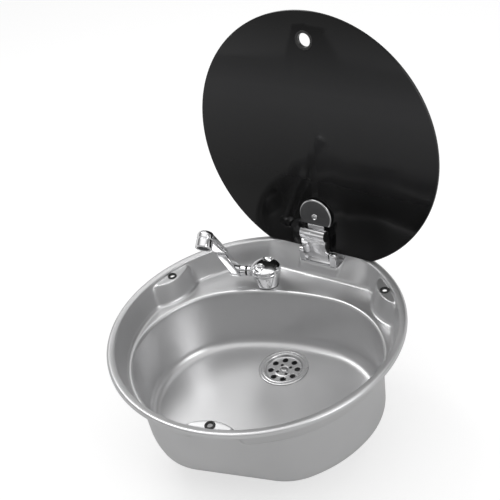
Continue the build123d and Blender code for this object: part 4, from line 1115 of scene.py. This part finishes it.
def build_floor(colours):
    """Floor just under the part, which keeps the shadow."""
    half, depth = FLOOR_HALF, CAD_BOX[0][2] - FLOOR_DROP
    mesh = bpy.data.meshes.new("floor")
    corners = [(-half, -half, depth), (half, -half, depth), (half, half, depth), (-half, half, depth)]
    mesh.from_pydata(corners, [], [(0, 1, 2, 3)])
    floor = loose_object("floor", mesh)
    paint = bpy.data.materials.new("studio_floor")
    paint.use_nodes = True
    shader = paint.node_tree.nodes["Principled BSDF"]
    shader.inputs["Base Color"].default_value = (*colours.floor, 1.0)
    shader.inputs["Roughness"].default_value = 0.9
    shader.inputs["Specular IOR Level"].default_value = 0.0
    shader.inputs["Emission Color"].default_value = (1.0, 1.0, 1.0, 1.0)
    paint.node_tree.links.new(floor_lift(paint.node_tree), shader.inputs["Emission Strength"])
    mesh.materials.append(paint)


def add_lamp(name, place, size, watts):
    """A round lamp aimed at the sink's origin."""
    light = bpy.data.lights.new(name, "AREA")
    light.shape = "DISK"
    light.size = size
    light.energy = watts
    lamp = loose_object(name, light)
    lamp.location = place
    lamp.rotation_euler = (-Vector(place)).to_track_quat("-Z", "Y").to_euler()


def build_stage(colours):
    """World, floor, lamps and camera."""
    scene = bpy.context.scene
    scene.view_settings.view_transform = "Standard"
    build_world(scene)
    build_floor(colours)
    for lamp in LAMPS:
        add_lamp(*lamp)
    camera = bpy.data.cameras.new("camera")
    camera.lens = CAMERA_LENS
    camera.shift_x, camera.shift_y = CAMERA_SHIFT
    view = loose_object("camera", camera)
    back = CAMERA_RIGHT.cross(CAMERA_UP)
    turn = Matrix((CAMERA_RIGHT, CAMERA_UP, back)).transposed().to_4x4()
    view.matrix_world = Matrix.Translation(CAMERA_PLACE) @ turn
    scene.camera = view


# ---------------------------------------------------------------- operators, panel and run

class SINK_OT_stage(bpy.types.Operator):
    """Makes the floor, lamps, world and camera"""
    bl_idname = "sink.stage"
    bl_label = "Stage"

    def execute(self, context):
        build_stage(context.scene.sink_colours)
        return {"FINISHED"}


class SINK_OT_finishes(bpy.types.Operator):
    """Makes the materials"""
    bl_idname = "sink.finishes"
    bl_label = "Finishes"

    def execute(self, context):
        make_finishes(context.scene.sink_colours)
        return {"FINISHED"}


class SINK_OT_pressed_sink(bpy.types.Operator):
    """Makes the pressed sheet"""
    bl_idname = "sink.pressed_sink"
    bl_label = "Pressed sink"

    def execute(self, context):
        build_pressed_sink(context.scene.sink_sizes)
        return {"FINISHED"}


class SINK_OT_seal(bpy.types.Operator):
    """Makes the seal under the rim"""
    bl_idname = "sink.seal"
    bl_label = "Worktop seal"

    def execute(self, context):
        build_rim_seal()
        return {"FINISHED"}


class SINK_OT_buffers(bpy.types.Operator):
    """Makes the rubber buffers on the tabs"""
    bl_idname = "sink.buffers"
    bl_label = "Buffers"

    def execute(self, context):
        build_buffers()
        return {"FINISHED"}


class SINK_OT_strainer(bpy.types.Operator):
    """Makes the strainer and its screw"""
    bl_idname = "sink.strainer"
    bl_label = "Strainer"

    def execute(self, context):
        build_strainer()
        return {"FINISHED"}


class SINK_OT_drain_cup(bpy.types.Operator):
    """Makes the cup under the floor"""
    bl_idname = "sink.drain_cup"
    bl_label = "Drain cup"

    def execute(self, context):
        build_drain_cup()
        return {"FINISHED"}


class SINK_OT_glass(bpy.types.Operator):
    """Makes the glass lid"""
    bl_idname = "sink.glass"
    bl_label = "Glass"

    def execute(self, context):
        build_glass(context.scene.sink_sizes)
        return {"FINISHED"}


class SINK_OT_finger_ring(bpy.types.Operator):
    """Makes the ring in the finger hole"""
    bl_idname = "sink.finger_ring"
    bl_label = "Finger ring"

    def execute(self, context):
        build_finger_ring()
        return {"FINISHED"}


class SINK_OT_clamp(bpy.types.Operator):
    """Makes the discs that hold the glass"""
    bl_idname = "sink.clamp"
    bl_label = "Clamp"

    def execute(self, context):
        build_clamp()
        return {"FINISHED"}


class SINK_OT_lever(bpy.types.Operator):
    """Makes the hinge lever"""
    bl_idname = "sink.lever"
    bl_label = "Lever"

    def execute(self, context):
        build_lever()
        return {"FINISHED"}


class SINK_OT_bracket(bpy.types.Operator):
    """Makes the hinge bracket, pin and screws"""
    bl_idname = "sink.bracket"
    bl_label = "Bracket"

    def execute(self, context):
        build_bracket()
        return {"FINISHED"}


class SINK_OT_tap(bpy.types.Operator):
    """Makes the tap's body and stub"""
    bl_idname = "sink.tap"
    bl_label = "Tap"

    def execute(self, context):
        build_tap()
        return {"FINISHED"}


class SINK_OT_tap_foot(bpy.types.Operator):
    """Makes the shank, nut and tail"""
    bl_idname = "sink.tap_foot"
    bl_label = "Tap foot"

    def execute(self, context):
        build_tap_foot()
        return {"FINISHED"}


class SINK_OT_knob(bpy.types.Operator):
    """Makes the turning knob"""
    bl_idname = "sink.knob"
    bl_label = "Knob"

    def execute(self, context):
        build_knob()
        return {"FINISHED"}


class SINK_OT_spout(bpy.types.Operator):
    """Makes the spout and its insert"""
    bl_idname = "sink.spout"
    bl_label = "Spout"

    def execute(self, context):
        build_spout()
        return {"FINISHED"}


class SINK_OT_kept(bpy.types.Operator):
    """Paints the CAD parts that stay"""
    bl_idname = "sink.kept"
    bl_label = "Kept parts"

    def execute(self, context):
        build_kept_nodes()
        return {"FINISHED"}


STEPS = [SINK_OT_stage, SINK_OT_finishes, SINK_OT_pressed_sink, SINK_OT_seal, SINK_OT_buffers,
         SINK_OT_strainer, SINK_OT_drain_cup, SINK_OT_glass, SINK_OT_finger_ring, SINK_OT_clamp,
         SINK_OT_lever, SINK_OT_bracket, SINK_OT_tap, SINK_OT_tap_foot, SINK_OT_knob,
         SINK_OT_spout, SINK_OT_kept]


class SINK_PT_panel(bpy.types.Panel):
    """Sidebar panel with every step of the sink."""
    bl_label = "Sink"
    bl_idname = "SINK_PT_panel"
    bl_space_type = "VIEW_3D"
    bl_region_type = "UI"
    bl_category = "Sink"

    def draw(self, context):
        for made in STEPS:
            self.layout.operator(made.bl_idname)


CLASSES = [SinkSizes, SinkColours, *STEPS, SINK_PT_panel]


def register():
    for item in CLASSES:
        bpy.utils.register_class(item)
    bpy.types.Scene.sink_sizes = bpy.props.PointerProperty(type=SinkSizes)
    bpy.types.Scene.sink_colours = bpy.props.PointerProperty(type=SinkColours)


def unregister():
    del bpy.types.Scene.sink_sizes
    del bpy.types.Scene.sink_colours
    for item in reversed(CLASSES):
        bpy.utils.unregister_class(item)


def main():
    register()
    for made in STEPS:
        getattr(bpy.ops.sink, made.bl_idname.split(".")[1])()


if __name__ == "__main__":
    main()
